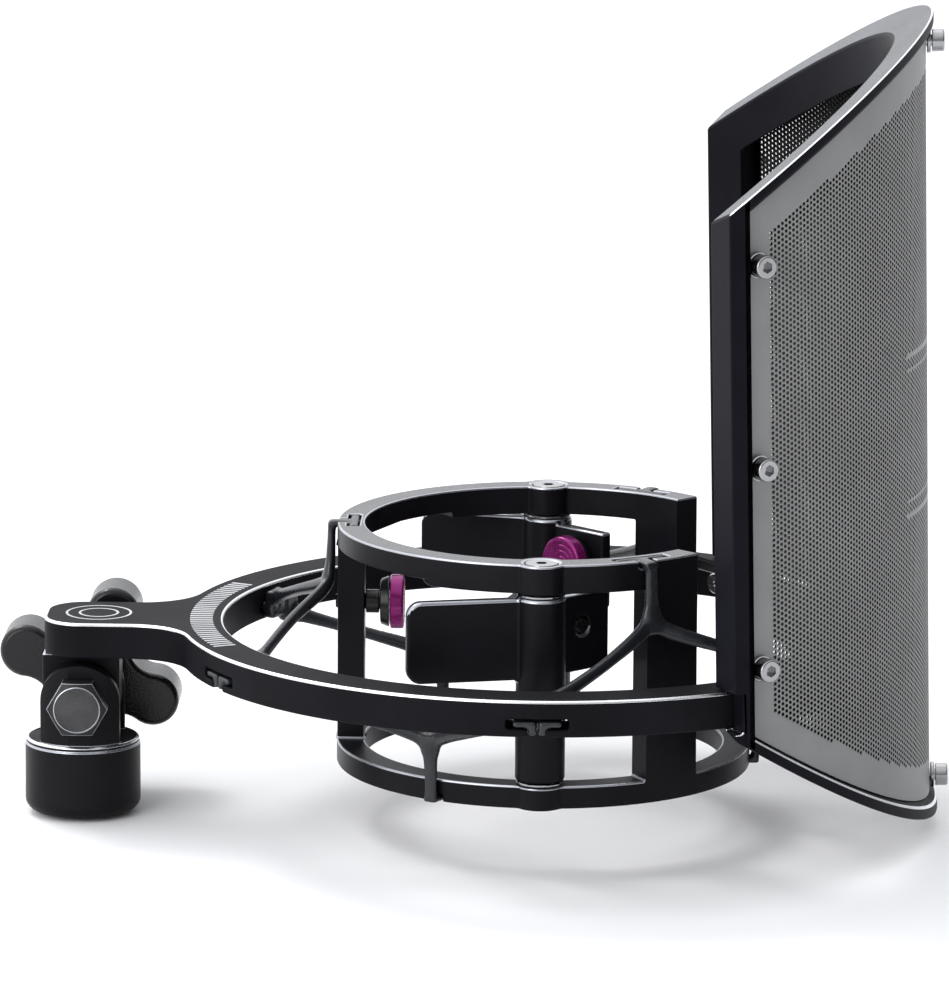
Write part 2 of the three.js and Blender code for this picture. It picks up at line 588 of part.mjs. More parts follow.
function shieldFasteners() {
  const group = new THREE.Group();
  shieldScrewPlaces().forEach((place) => {
    const seat = MESH_R + GAP;
    const flat = washer(M3_BORE_R, M3_WASHER_R, 0, M3_WASHER_T, 12);
    const ring = flat.rotateY(Math.PI / 2).translate(seat, 0, 0);
    const screw = solidGeometry(capScrew()).translate(seat + M3_WASHER_T + GAP, 0, 0);
    group.add(
      piece(`mesh_washer_${place.label}`, leaned(radial(ring, place)), CHROME),
      piece(`mesh_screw_${place.label}`, leaned(radial(screw, place)), CHROME),
    );
  });
  [1, -1].forEach((s) => {
    const shank = rodX(M3_SHANK_R, HOOP_IN_R - 1, 91.6, 12);
    const head = rodX(M3_HEAD_R, HOOP_IN_R - 2.8, HOOP_IN_R - GAP, 16);
    const name = `hoop_screw_${s < 0 ? 'near' : 'far'}`;
    group.add(piece(name, radial(solidGeometry(join(shank, head)), holderPlace(s)), CHROME));
  });
  return group;
}

// ---------------------------------------------------------------- assembly
function standParts() {
  const group = new THREE.Group();
  const onAxis = (mesh) => {
    mesh.position.z = BOLT_Z;
    return mesh;
  };
  const knobSide = (mesh) => {
    mesh.rotation.x = -Math.PI / 2;
    mesh.position.set(0, KNOB_FRONT, BOLT_Z);
    return mesh;
  };
  group.add(
    piece('stand_collar', standCollar(), SATIN_BLACK),
    piece('thread_insert', threadInsert(), BRASS),
    onAxis(piece('tilt_bolt', tiltBolt(), BLACK_STEEL)),
    onAxis(piece('friction_washer_near', ringY(BOLT_RING_R, 8.4, -6.3, -5.7), NYLON)),
    onAxis(piece('friction_washer_far', ringY(BOLT_RING_R, 8.4, 5.7, 6.3), NYLON)),
    onAxis(piece('knob_washer', ringY(BOLT_RING_R, 8, EAR_OUT + GAP, 14.8), CHROME)),
    knobSide(piece('clamp_knob', clampKnob(), MOULDED_BLACK)),
    knobSide(piece('knob_insert', knobInsert(), BRASS)),
  );
  return group;
}

function micParts() {
  const group = new THREE.Group();
  group.position.set(MIC_X, 0, ARM_TOP_Z);
  group.add(
    piece('arm_hoop', armHoop(), SATIN_BLACK),
    suspension(),
    piece('mic_cage', micCage(), SATIN_BLACK),
    clampParts(-1, 'near'),
    clampParts(1, 'far'),
    rearPad(),
    piece('shield_frame', shieldFrame(), SATIN_BLACK),
    piece('shield_mesh', shieldMesh(), STEEL),
    shieldFasteners(),
  );
  return group;
}

const shockMount = new THREE.Group();
shockMount.add(
  standParts(),
  piece('swivel_tongue', swivelTongue(), SATIN_BLACK),
  piece('tongue_screw', tongueScrew(), CHROME),
  micParts(),
);

export default shockMount;
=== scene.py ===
"""The looks of a microphone shock mount with its pop filter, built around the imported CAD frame.

Pieces are drawn in millimetres about the microphone's axis, with z = 0 at the hoop's top face, or about the
stand's own axis, and are put into the frame in metres by stand_in().
"""
import json
import math

import bmesh
import bpy
import numpy as np
from mathutils import Matrix, Vector


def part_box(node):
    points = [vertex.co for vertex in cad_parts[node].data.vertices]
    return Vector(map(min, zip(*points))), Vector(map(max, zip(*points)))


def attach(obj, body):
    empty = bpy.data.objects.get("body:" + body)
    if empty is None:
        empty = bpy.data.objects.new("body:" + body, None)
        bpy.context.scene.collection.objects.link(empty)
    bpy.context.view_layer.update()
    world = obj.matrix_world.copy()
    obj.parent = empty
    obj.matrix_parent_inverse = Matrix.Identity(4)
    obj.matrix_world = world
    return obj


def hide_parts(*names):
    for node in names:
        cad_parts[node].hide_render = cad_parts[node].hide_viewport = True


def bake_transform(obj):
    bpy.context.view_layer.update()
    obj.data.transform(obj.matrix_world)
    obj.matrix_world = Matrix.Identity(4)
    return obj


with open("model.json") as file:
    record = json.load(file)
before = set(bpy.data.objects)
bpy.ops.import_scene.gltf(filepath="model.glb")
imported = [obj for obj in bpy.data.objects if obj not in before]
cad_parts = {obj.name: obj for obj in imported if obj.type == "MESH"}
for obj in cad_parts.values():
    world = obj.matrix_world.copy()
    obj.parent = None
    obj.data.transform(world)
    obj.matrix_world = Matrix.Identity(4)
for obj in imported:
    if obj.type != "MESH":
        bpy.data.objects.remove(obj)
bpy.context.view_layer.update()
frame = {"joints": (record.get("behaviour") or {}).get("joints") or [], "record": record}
record = frame["record"]
scene = bpy.context.scene

# ---------------------------------------------------------------- where the frame puts things
MM = 0.001
JOINT = {j["name"]: j for j in frame["joints"]}
SLOT_OF = {s["node"]: s["material_slot"] for s in record["subparts"]}
BODY_OF = {node: body for body, nodes in record["behaviour"]["bodies"].items() for node in nodes}
MOUNT = {m["name"]: Vector(m["pos_m"]) for m in record["mounts"]}
HOOP_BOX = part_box("arm_hoop")
CAGE_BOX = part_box("mic_cage")
MIC = Vector((MOUNT["microphone_cradle"].x, 0, HOOP_BOX[1].z))
STAND = MOUNT["stand_socket"]
BOLT = Vector(JOINT["arm_tilt"]["pos_m"])

# driving sizes in millimetres
HOOP_R, HOOP_IN_R = 90, 79
HOOP_H = (HOOP_BOX[1].z - HOOP_BOX[0].z) / MM
ARM_HALF_W, ARM_END_R, NECK_R = 13.1, 9.5, 15
ARM_END_X = (HOOP_BOX[0].x - MIC.x) / MM
SLOT_TOP, SLOT_NECK, SLOT_W, SLOT_NECK_W = -4.5, -7, 14.8, 4.8
FOOT_AZIMUTHS = range(30, 360, 60)
CAGE_R, CAGE_IN_R, RING_H = 51, 44.2, 5.6
CAGE_TOP = (CAGE_BOX[1].z - MIC.z) / MM
CAGE_BOTTOM = (CAGE_BOX[0].z - MIC.z) / MM
CAGE_MID = (CAGE_TOP + CAGE_BOTTOM) / 2
CAGE_MOUTH, POST_END = 42.5, 60
PIN_RING_R, BOSS_R, PIN_R, RING_DROP = 47.7, 6, 2.6, 1.5
HEAD_W, HEAD_T = 14, 1.8
BARREL_TOP = CAGE_TOP - RING_H - RING_DROP - 1.1
BARREL_BOTTOM = CAGE_BOTTOM + RING_H + 1.1
JAW_TOP, JAW_BOTTOM, JAW_FLARE, JAW_PLATE_L = 15.8, -4.2, 14, 33
JAW_ARM_L, JAW_ARM_ANGLE, JAW_T = 22, 44.5, 3.2
PAD_R, JAW_PAD_Z, REAR_PAD_Z = 6.7, 7, 3.8
PAD_ARM_OFFSET = 0.9
TONGUE_HOLE_R, STUD_HOLE_R, M3_BORE_R = 2.6, 2.3, 1.8
SHIELD_R, SHIELD_IN_R, SHIELD_END = 94.5, 84.5, 62
SHIELD_X, SHIELD_LEAN, LEAN_X = 2, -1.4, 47
SHIELD_MID, SHIELD_HALF_H, SHIELD_SLOPE = 51.9, 99.2, 0.727
LIP, MESH_BORDER, MESH_R, MESH_T, MESH_END, WINDOW_END = 2.6, 6.5, 92.6, 0.8, 59, 55.1
SCREW_AZIMUTH, SCREW_MID, SCREW_PITCH, SCREW_FRONT_Z = 57, 53.7, 48, 91.3
HOLDER_AZIMUTH = 56  # of the screws that hold the shield on the hoop
CLEAR = 0.3


# ---------------------------------------------------------------- mesh helpers
def solid(verts, faces, name="solid"):
    """A closed mesh with its faces pointing out."""
    mesh = bpy.data.meshes.new(name)
    mesh.from_pydata([tuple(v) for v in verts], [], faces)
    bm = bmesh.new()
    bm.from_mesh(mesh)
    bmesh.ops.recalc_face_normals(bm, faces=bm.faces)
    bm.to_mesh(mesh)
    bm.free()
    obj = bpy.data.objects.new(name, mesh)
    scene.collection.objects.link(obj)
    return obj


def moved(obj, *matrices):
    for matrix in matrices:
        obj.data.transform(matrix)
    return obj


def shift(x, y, z):
    return Matrix.Translation((x, y, z))


def turn(axis, degrees):
    return Matrix.Rotation(math.radians(degrees), 4, axis)


ALONG_X = turn("Y", 90)
ALONG_Y = turn("X", -90)
UPRIGHT = turn("X", 90)  # an outline drawn in x-z, extruded along -y


def prism(outline, z0, z1):
    n = len(outline)
    verts = [(x, y, z) for z in (z0, z1) for x, y in outline]
    sides = [(i, (i + 1) % n, n + (i + 1) % n, n + i) for i in range(n)]
    return solid(verts, sides + [tuple(range(n)), tuple(range(n, 2 * n))])


def block(x0, x1, y0, y1, z0, z1):
    z0, z1 = sorted((z0, z1))
    return prism([(x0, y0), (x1, y0), (x1, y1), (x0, y1)], z0, z1)


def lathe(profile, steps=64):
    """Turns [radius, z] points about Z; the profile closes on itself or starts and ends on the axis."""
    closed = tuple(profile[0]) == tuple(profile[-1])
    points = profile[:-1] if closed else profile
    verts, rings = [], []
    for r, z in points:
        start = len(verts)
        if r < 1e-6:
            verts.append((0, 0, z))
            rings.append([start] * steps)
            continue
        for k in range(steps):
            a = 2 * math.pi * k / steps
            verts.append((r * math.cos(a), r * math.sin(a), z))
        rings.append(list(range(start, start + steps)))
    faces = []
    pairs = list(zip(rings, rings[1:])) + ([(rings[-1], rings[0])] if closed else [])
    for low, high in pairs:
        for k in range(steps):
            m = (k + 1) % steps
            corners = list(dict.fromkeys((low[k], low[m], high[m], high[k])))
            if len(corners) > 2:
                faces.append(corners)
    return solid(verts, faces)


def rod(r, z0, z1, steps=48):
    return lathe([(0, z0), (r, z0), (r, z1), (0, z1)], steps)


def collar(r_in, r_out, z0, z1, edge=0.15, steps=64):
    """A plain ring with its edges taken off."""
    return lathe([
        (r_in, z0 + edge), (r_in + edge, z0), (r_out - edge, z0), (r_out, z0 + edge), (r_out, z1 - edge),
        (r_out - edge, z1), (r_in + edge, z1), (r_in, z1 - edge), (r_in, z0 + edge),
    ], steps)


def arc(cx, cy, r, start, end, steps):
    angles = [math.radians(start + (end - start) * i / steps) for i in range(steps + 1)]
    return [(cx + r * math.cos(a), cy + r * math.sin(a)) for a in angles]


def hexagon(radius):
    return arc(0, 0, radius, 0, 300, 5)


def bar(r_in, r_out, start, end, z0, z1, step=2.5):
    """A curved bar between two radii and two azimuths."""
    steps = max(4, round(abs(end - start) / step))
    return prism(arc(0, 0, r_out, start, end, steps) + arc(0, 0, r_in, end, start, steps), z0, z1)


def settle(obj):
    """Applies an object's modifiers."""
    bpy.context.view_layer.update()
    graph = bpy.context.evaluated_depsgraph_get()
    mesh = bpy.data.meshes.new_from_object(obj.evaluated_get(graph), depsgraph=graph)
    obj.modifiers.clear()
    old, obj.data = obj.data, mesh
    bpy.data.meshes.remove(old)
    return obj


def combine(body, tools, operation):
    for tool in tools:
        boolean = body.modifiers.new("boolean", "BOOLEAN")
        boolean.operation = operation
        boolean.solver = "MANIFOLD"
        boolean.object = tool
        settle(body)
        bpy.data.objects.remove(tool)
    return body


def join(body, *tools):
    return combine(body, tools, "UNION")


def cut(body, *tools):
    return combine(body, tools, "DIFFERENCE")


def common(body, *tools):
    return combine(body, tools, "INTERSECT")


def copied(obj):
    twin = obj.copy()
    twin.data = obj.data.copy()
    scene.collection.objects.link(twin)
    return twin


EDGE = 1  # material index of a softened piece's rounded edges


def soften(obj, width, segments=2, angle=32):
    """Rounds a solid's edges, marks them with EDGE and shades its flats flat."""
    obj.data.materials.clear()
    obj.data.materials.append(None)
    obj.data.materials.append(None)
    bm = bmesh.new()
    bm.from_mesh(obj.data)
    bmesh.ops.remove_doubles(bm, verts=bm.verts, dist=0.002)
    bmesh.ops.dissolve_limit(bm, angle_limit=math.radians(0.4), verts=bm.verts, edges=bm.edges)
    bm.to_mesh(obj.data)
    bm.free()
    bevel = obj.modifiers.new("bevel", "BEVEL")
    bevel.width = width
    bevel.segments = segments
    bevel.limit_method = "ANGLE"
    bevel.angle_limit = math.radians(angle)
    bevel.use_clamp_overlap = False
    bevel.miter_outer = "MITER_ARC"
    bevel.material = EDGE
    settle(obj)
    return shade(obj)


def shade(obj, angle=38):
    obj.data.shade_smooth()
    obj.data.set_sharp_from_angle(angle=math.radians(angle))
    weighted = obj.modifiers.new("normals", "WEIGHTED_NORMAL")
    weighted.keep_sharp = True
    weighted.weight = 80
    return settle(obj)


# ---------------------------------------------------------------- materials
def new_material(name):
    material = bpy.data.materials.new(name)
    material.use_nodes = True
    nodes, links = material.node_tree.nodes, material.node_tree.links
    return material, nodes, links, nodes["Principled BSDF"]


def noise_of(nodes, links, scale, detail=3.0, stretch=(1, 1, 1)):
    place = nodes.new("ShaderNodeTexCoord")
    mapping = nodes.new("ShaderNodeMapping")
    mapping.inputs["Scale"].default_value = stretch
    noise = nodes.new("ShaderNodeTexNoise")
    noise.inputs["Scale"].default_value = scale
    noise.inputs["Detail"].default_value = detail
    links.new(place.outputs["Object"], mapping.inputs["Vector"])
    links.new(mapping.outputs["Vector"], noise.inputs["Vector"])
    return noise.outputs["Fac"]


def spread(nodes, links, source, low, high):
    remap = nodes.new("ShaderNodeMapRange")
    remap.inputs["From Min"].default_value = 0.3
    remap.inputs["From Max"].default_value = 0.7
    remap.inputs["To Min"].default_value = low
    remap.inputs["To Max"].default_value = high
    links.new(source, remap.inputs["Value"])
    return remap.outputs["Result"]


def tinted(nodes, links, source, dark, light):
    ramp = nodes.new("ShaderNodeValToRGB")
    ramp.color_ramp.elements[0].position = 0.35
    ramp.color_ramp.elements[0].color = (*dark, 1)
    ramp.color_ramp.elements[1].position = 0.68
    ramp.color_ramp.elements[1].color = (*light, 1)
    links.new(source, ramp.inputs["Fac"])
    return ramp.outputs["Color"]


def grained(name, color, roughness, grain, bump, specular=0.5, metallic=0.0, spreads=0.07, mottle=0.25,
            stretch=(1, 1, 1)):
    """A surface with a fine grain, in metres, and a slow drift in its colour and gloss."""
    material, nodes, links, shader = new_material(name)
    shader.inputs["Metallic"].default_value = metallic
    shader.inputs["Specular IOR Level"].default_value = specular
    fine = noise_of(nodes, links, 1 / grain, 2.0, stretch)
    slow = noise_of(nodes, links, 55, 4.0)
    dark = [c * (1 - mottle) for c in color]
    light = [min(1, c * (1 + mottle)) for c in color]
    links.new(tinted(nodes, links, slow, dark, light), shader.inputs["Base Color"])
    mixed = nodes.new("ShaderNodeMath")
    mixed.operation = "MULTIPLY_ADD"
    mixed.inputs[1].default_value = 0.5
    half = nodes.new("ShaderNodeMath")
    half.operation = "MULTIPLY"
    half.inputs[1].default_value = 0.5
    links.new(slow, half.inputs[0])
    links.new(fine, mixed.inputs[0])
    links.new(half.outputs[0], mixed.inputs[2])
    rough = spread(nodes, links, mixed.outputs[0], roughness - spreads, roughness + spreads)
    links.new(rough, shader.inputs["Roughness"])
    relief = nodes.new("ShaderNodeBump")
    relief.inputs["Strength"].default_value = bump
    relief.inputs["Distance"].default_value = grain * 0.5
    links.new(fine, relief.inputs["Height"])
    links.new(relief.outputs["Normal"], shader.inputs["Normal"])
    return material


MATERIALS = {
    "satin_black": grained("satin_black", (0.0048, 0.0048, 0.0068), 0.36, 0.00022, 0.2, specular=0.11),
    "adapter_black": grained("adapter_black", (0.006, 0.006, 0.0072), 0.40, 0.0004, 0.4, specular=0.1),
    "frame_black": grained("frame_black", (0.0048, 0.0048, 0.0082), 0.46, 0.0003, 0.3, specular=0.07),
    "hoop_black": grained("hoop_black", (0.0065, 0.0065, 0.0085), 0.55, 0.0003, 0.3, specular=0.06),
    # painted sheen: a lighter, glossier black for the cage ring's top faces, standing in for the light they
    # reflect
    "painted_ring_top_sheen": grained("painted_ring_top_sheen", (0.014, 0.016, 0.022), 0.24, 0.0006, 0.25, specular=0.6, mottle=0.4),
    # painted sheen: a lighter, grainy black for the shield rim's up-facing top faces, standing in for the light
    # from above
    "painted_rim_top_sheen": grained("painted_rim_top_sheen", (0.030, 0.034, 0.044), 0.32, 0.0006, 0.9, specular=0.5, mottle=0.7),
    "screen_steel": grained("screen_steel", (0.235, 0.237, 0.235), 0.44, 0.0003, 0.08, specular=0.3,
                            metallic=0.35, spreads=0.05, mottle=0.08, stretch=(1, 1, 0.1)),
    # painted shade: a near-black for the sheet's back and its hole walls, making the holes and the shield's
    # inside read dark
    "painted_shade_back_and_holes": grained("painted_shade_back_and_holes", (0.007, 0.007, 0.008), 0.5, 0.0004, 0.1, specular=0.2),
    "moulded_black": grained("moulded_black", (0.0065, 0.0065, 0.0075), 0.25, 0.00045, 0.22, specular=0.32),
    "suspension_black": grained("suspension_black", (0.012, 0.013, 0.017), 0.30, 0.0012, 0.0, specular=0.5),
    "purple": grained("purple", (0.22, 0.010, 0.135), 0.26, 0.0004, 0.05, metallic=0.55, mottle=0.15),
    "black_steel": grained("black_steel", (0.010, 0.010, 0.011), 0.36, 0.0005, 0.3, specular=0.3),
    "worn_steel": grained("worn_steel", (0.05, 0.05, 0.052), 0.45, 0.0005, 0.6, metallic=0.5, mottle=0.5),
    "chrome": grained("chrome", (0.34, 0.34, 0.35), 0.18, 0.0008, 0.03, metallic=1.0, spreads=0.04,
                      mottle=0.12),
    "brass": grained("brass", (0.45, 0.30, 0.10), 0.32, 0.0006, 0.08, metallic=1.0, mottle=0.18),
    "nylon": grained("nylon", (0.03, 0.03, 0.032), 0.55, 0.0004, 0.1, specular=0.4),
    "spring_steel": grained("spring_steel", (0.35, 0.35, 0.36), 0.28, 0.0005, 0.06, metallic=1.0),
    # polished metal for up-facing chamfers and rims: partly a polished cut edge, partly a painted highlight of
    # the light above
    "polished_and_highlight_edge": grained("polished_and_highlight_edge", (0.80, 0.81, 0.84), 0.25, 0.0005, 0.04, metallic=1.0,
                             mottle=0.08),
    # painted highlight: a brighter metal for rounded edges that face the light above
    "painted_highlight_edge": grained("painted_highlight_edge", (0.44, 0.45, 0.49), 0.30, 0.0008, 0.02, metallic=0.9,
                           mottle=0.12),
    "marking": grained("marking", (0.50, 0.51, 0.53), 0.45, 0.0004, 0.1, mottle=0.2),
}
# slots whose up-facing rounded edges take a painted highlight, and the material that paints it
PAINTED_HIGHLIGHT_OF = dict.fromkeys(["satin_black", "adapter_black"], "painted_highlight_edge")


# ---------------------------------------------------------------- putting pieces into the frame
def put(obj, name, body, slot, origin, spin=None):
    obj.name = name
    obj.data.name = name
    moved(obj, spin or Matrix.Identity(4), Matrix.Scale(MM, 4), Matrix.Translation(origin))
    if not any(obj.data.materials):
        dress(obj.data, slot)
    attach(obj, body)
    return obj


def takes_painted_highlight(normal, index):
    """True on a rounded edge that faces up, which gets a brighter metal as a painted highlight of the light
    from above.
    """
    return index == EDGE and normal.z > 0.15


def mark(mesh, names, chooser):
    """Gives each face the material of the name that chooser picks from its centre and normal."""
    flags = [names.index(chooser(face.center, face.normal, face.material_index)) for face in mesh.polygons]
    mesh.materials.clear()
    for name in names:
        mesh.materials.append(MATERIALS[name])
    mesh.polygons.foreach_set("material_index", flags)


def dress(mesh, slot):
    """Gives a mesh its slot's material, and its up-facing rounded edges the slot's brighter one, a painted
    highlight.
    """
    edge = PAINTED_HIGHLIGHT_OF.get(slot, slot)
    names = list(dict.fromkeys([slot, edge]))
    mark(mesh, names, lambda centre, normal, index: edge if takes_painted_highlight(normal, index) else slot)


def stand_in(obj, node, origin=MIC, spin=None):
    """obj, drawn in millimetres, takes a CAD node's place, body and material slot."""
    slot = SLOT_OF[node]
    put(obj, f"fine_{node}", BODY_OF[node], slot, origin, spin)
    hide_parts(node)
    return obj


# ---------------------------------------------------------------- stand adapter
COLLAR_R, COLLAR_H, SOCKET_R, SOCKET_DEPTH = 14.25, 18.5, 8.2, 15
BOLT_Z = BOLT.z / MM
EAR_R, EAR_IN, EAR_OUT = 9.8, 6.6, 13


def ear(y0, y1):
    outline = [(-EAR_R, COLLAR_H - 2), (EAR_R, COLLAR_H - 2)] + arc(0, BOLT_Z, EAR_R, 0, 180, 40)
    plate = moved(prism(outline, -y1, -y0), UPRIGHT)
    return common(plate, rod(COLLAR_R - 1, 0, BOLT_Z + 20, 96))


def stand_collar():
    foot = [(COLLAR_R - 3 + 3 * math.sin(a), 3 - 3 * math.cos(a)) for a in np.radians(range(0, 91, 10))]
    step, shoulder = 0.3, COLLAR_H - 1.5
    profile = [(0, 0)] + foot + [
        (COLLAR_R, shoulder), (COLLAR_R - step, shoulder + 0.2), (COLLAR_R - step, COLLAR_H - 0.4),
        (COLLAR_R - 0.75, COLLAR_H), (0, COLLAR_H),
    ]
    body = join(lathe(profile, 128), ear(-EAR_OUT, -EAR_IN), ear(EAR_IN, EAR_OUT))
    bore = moved(rod(4.3, -20, 20), ALONG_Y, shift(0, 0, BOLT_Z))
    cut(body, rod(SOCKET_R, -1, SOCKET_DEPTH, 96), bore)
    soften(body, 0.18, 2, 40)

    # the top rim's chamfer gets the polished metal, partly a painted highlight, and up-facing rounded edges
    # below the top the brighter metal, a painted highlight
    def finish_and_highlight(centre, normal, index):
        on_rim = COLLAR_H - 0.6 < centre.z < COLLAR_H and 0.2 < normal.z < 0.97
        if on_rim and math.hypot(centre.x, centre.y) > COLLAR_R - 1.6:
            return "polished_and_highlight_edge"
        return "painted_highlight_edge" if takes_painted_highlight(normal, index) and centre.z < COLLAR_H + 1 else "adapter_black"

    mark(body.data, ["adapter_black", "painted_highlight_edge", "polished_and_highlight_edge"], finish_and_highlight)
    return body


def thread_insert():
    """The brass adapter, threaded inside."""
    pitch, depth, top = 1.6, 0.45, SOCKET_DEPTH - CLEAR
    bore = 4.8
    inside = []
    z = 1.4
    while z + pitch < top - 0.6:
        inside += [(bore + depth, z), (bore, z + pitch / 2)]
        z += pitch
    outline = [(bore + 0.9, 0.4), (7.6, 0.4), (7.9, 0.7), (7.9, top - 0.3), (7.6, top), (bore + 0.5, top)]
    return shade(lathe(outline + inside[::-1] + [outline[0]], 72), 50)


def tilt_bolt():
    back, height, flats = -EAR_OUT - CLEAR, 5.3, 13
    corner = flats / math.sqrt(3)
    head = prism(hexagon(corner), 0, height)
    face = flats / 2 - 0.75
    dome = lathe([
        (0, -1), (corner + 1, -1), (corner + 1, height - 1.5), (face, height - 0.1), (face - 0.12, height),
        (face - 0.3, height), (face - 0.4, height - 0.15), (0, height - 0.15),
    ], 96)
    common(head, dome)
    soften(head, 0.12, 2, 25)
    shank = shade(lathe([(0, -34), (3.7, -34), (4, -33.7), (4, -4), (4, 0.5), (0, 0.5)], 48))
    join(head, shank)
    shade(head, 30)

    # the face's rim and the head's upper rounded edges get the brighter metal, a painted highlight; the face
    # itself a lighter worn steel
    def finish_and_highlight(centre, normal, index):
        r = math.hypot(centre.x, centre.y)
        if centre.z < height - 0.2 or r > face:
            return "painted_highlight_edge" if index == EDGE and centre.z > 1 else "black_steel"
        return "worn_steel" if r < face - 0.3 else "painted_highlight_edge"

    mark(head.data, ["black_steel", "worn_steel", "painted_highlight_edge"], finish_and_highlight)
    return moved(head, turn("X", 90), shift(0, back, BOLT_Z))


def ring_on_bolt(r_in, r_out, y0, y1):
    return shade(moved(collar(r_in, r_out, y0, y1), ALONG_Y, shift(0, 0, BOLT_Z)))


KNOB_FRONT, KNOB_T, KNOB_TIP_R, KNOB_LOBE_R, KNOB_HOLLOW_R, KNOB_TURN = 19, 15, 23.5, 6.6, 7, 21


def knob_outline():
    """Four round lobes, with a hollow of KNOB_HOLLOW_R between each two."""
    reach = KNOB_TIP_R - KNOB_LOBE_R
    span = KNOB_HOLLOW_R + KNOB_LOBE_R
    half = reach * math.cos(math.pi / 4)
    centre = half + math.sqrt(half ** 2 - reach ** 2 + span ** 2)
    side = math.degrees(math.atan2(centre * math.sin(math.pi / 4), centre * math.cos(math.pi / 4) - reach))
    points = []
    for k in range(4):
        spin = math.radians(KNOB_TURN + 90 * k)
        lobe = arc(reach, 0, KNOB_LOBE_R, -side, side, 28)
        cx = centre * math.cos(math.pi / 4)
        valley = arc(cx, cx, KNOB_HOLLOW_R, side + 180, 270 - side, 16)
        if (valley[0][0] - lobe[-1][0]) ** 2 + (valley[0][1] - lobe[-1][1]) ** 2 > 1:
            valley = valley[::-1]
        for x, y in lobe + valley[1:-1]:
            points.append((x * math.cos(spin) - y * math.sin(spin), x * math.sin(spin) + y * math.cos(spin)))
    return points


def clamp_knob():
    body = prism(knob_outline(), 0, KNOB_T)
    soften(body, 1.5, 5, 50)
    neck = lathe([(0, -3.6), (7.6, -3.6), (8, -3.2), (8, 2), (0, 2)], 64)
    join(body, neck)
    pocket = prism(hexagon(6.8), -5, KNOB_T - 2.5)
    cut(body, pocket)
    shade(body, 40)
    return moved(body, turn("X", -90), shift(0, KNOB_FRONT, BOLT_Z))


def knob_insert():
    sleeve = common(collar(4.3, 9, -3.4, KNOB_T - 3.1, 0.3), prism(hexagon(6.5), -10, KNOB_T))
    soften(sleeve, 0.15, 1, 30)
    return moved(sleeve, turn("X", -90), shift(0, KNOB_FRONT, BOLT_Z))


def swivel_tongue():
    top = MIC.z / MM - HOOP_H - CLEAR
    half, thick = 9.5, 5.4
    outline = [(half, top), (-half, top)] + arc(0, BOLT_Z, half, 180, 360, 40)
    plate = moved(prism(outline, -thick, thick), UPRIGHT)
    cut(plate, moved(rod(4.3, -20, 20), ALONG_Y, shift(0, 0, BOLT_Z)), rod(TONGUE_HOLE_R, top - 4, top + 1, 32))
    return soften(plate, 0.7, 3)


def tongue_screw():
    drop = MIC.z / MM - HOOP_H
    return shade(lathe([(0, drop - 4), (2, drop - 4), (2.3, drop - 3.7), (2.3, drop + HOOP_H - 3.5),
                        (2.1, drop + HOOP_H - 3.3), (0, drop + HOOP_H - 3.3)], 32))


def add_stand_adapter():
    stand_in(stand_collar(), "stand_collar", STAND)
    stand_in(thread_insert(), "thread_insert", STAND)
    stand_in(tilt_bolt(), "tilt_bolt", STAND)
    stand_in(ring_on_bolt(4.4, 8.4, -6.3, -5.7), "friction_washer_near", STAND)
    stand_in(ring_on_bolt(4.4, 8.4, 5.7, 6.3), "friction_washer_far", STAND)
    stand_in(ring_on_bolt(4.4, 8, EAR_OUT + CLEAR, 14.8), "knob_washer", STAND)
    stand_in(clamp_knob(), "clamp_knob", STAND)
    stand_in(knob_insert(), "knob_insert", STAND)
    stand_in(swivel_tongue(), "swivel_tongue", STAND)
    stand_in(tongue_screw(), "tongue_screw", STAND)


# ---------------------------------------------------------------- arm and hoop
def arm_outline():
    r, w = ARM_END_R, ARM_HALF_W
    neck_y = w + NECK_R
    neck_x = -math.sqrt((HOOP_R + NECK_R) ** 2 - neck_y ** 2)
    meet = math.degrees(math.atan2(neck_y, -neck_x))
    return (arc(ARM_END_X + r, w - r, r, 180, 90, 14) + arc(neck_x, neck_y, NECK_R, 270, 360 - meet, 14)
            + arc(0, 0, HOOP_R, 180 - meet, meet - 180, 160)[1:-1]
            + arc(neck_x, -neck_y, NECK_R, meet, 90, 14) + arc(ARM_END_X + r, r - w, r, 270, 180, 14))


def tee_slot(azimuth):
    head = block(HOOP_IN_R - 3, HOOP_R + 3, -SLOT_W / 2, SLOT_W / 2, SLOT_NECK, SLOT_TOP)
    neck = block(HOOP_IN_R - 3, HOOP_R + 3, -SLOT_NECK_W / 2, SLOT_NECK_W / 2, -HOOP_H - 1, SLOT_NECK + 0.1)
    return moved(join(head, neck), turn("Z", azimuth))


def arm_hoop():
    body = cut(prism(arm_outline(), -HOOP_H, 0), rod(HOOP_IN_R, -HOOP_H - 1, 1, 180))
    for azimuth in FOOT_AZIMUTHS:
        cut(body, tee_slot(azimuth))
    arm_x = (STAND.x - MIC.x) / MM
    cut(body, moved(rod(TONGUE_HOLE_R, -HOOP_H - 1, -3, 32), shift(arm_x, 0, 0)))
    for azimuth in (-HOLDER_AZIMUTH, HOLDER_AZIMUTH):
        cut(body, moved(rod(M3_BORE_R, 76, 95, 24), ALONG_X, shift(0, 0, -HOOP_H / 2), turn("Z", azimuth)))
    soften(body, 0.62, 3, 40)

    # up-facing top chamfers get the polished metal: partly a polished cut edge, partly a painted highlight
    def finish_and_highlight(centre, normal, index):
        return "polished_and_highlight_edge" if 0.2 < normal.z < 0.97 and centre.z > -1 else "hoop_black"

    mark(body.data, ["hoop_black", "polished_and_highlight_edge"], finish_and_highlight)
    return body


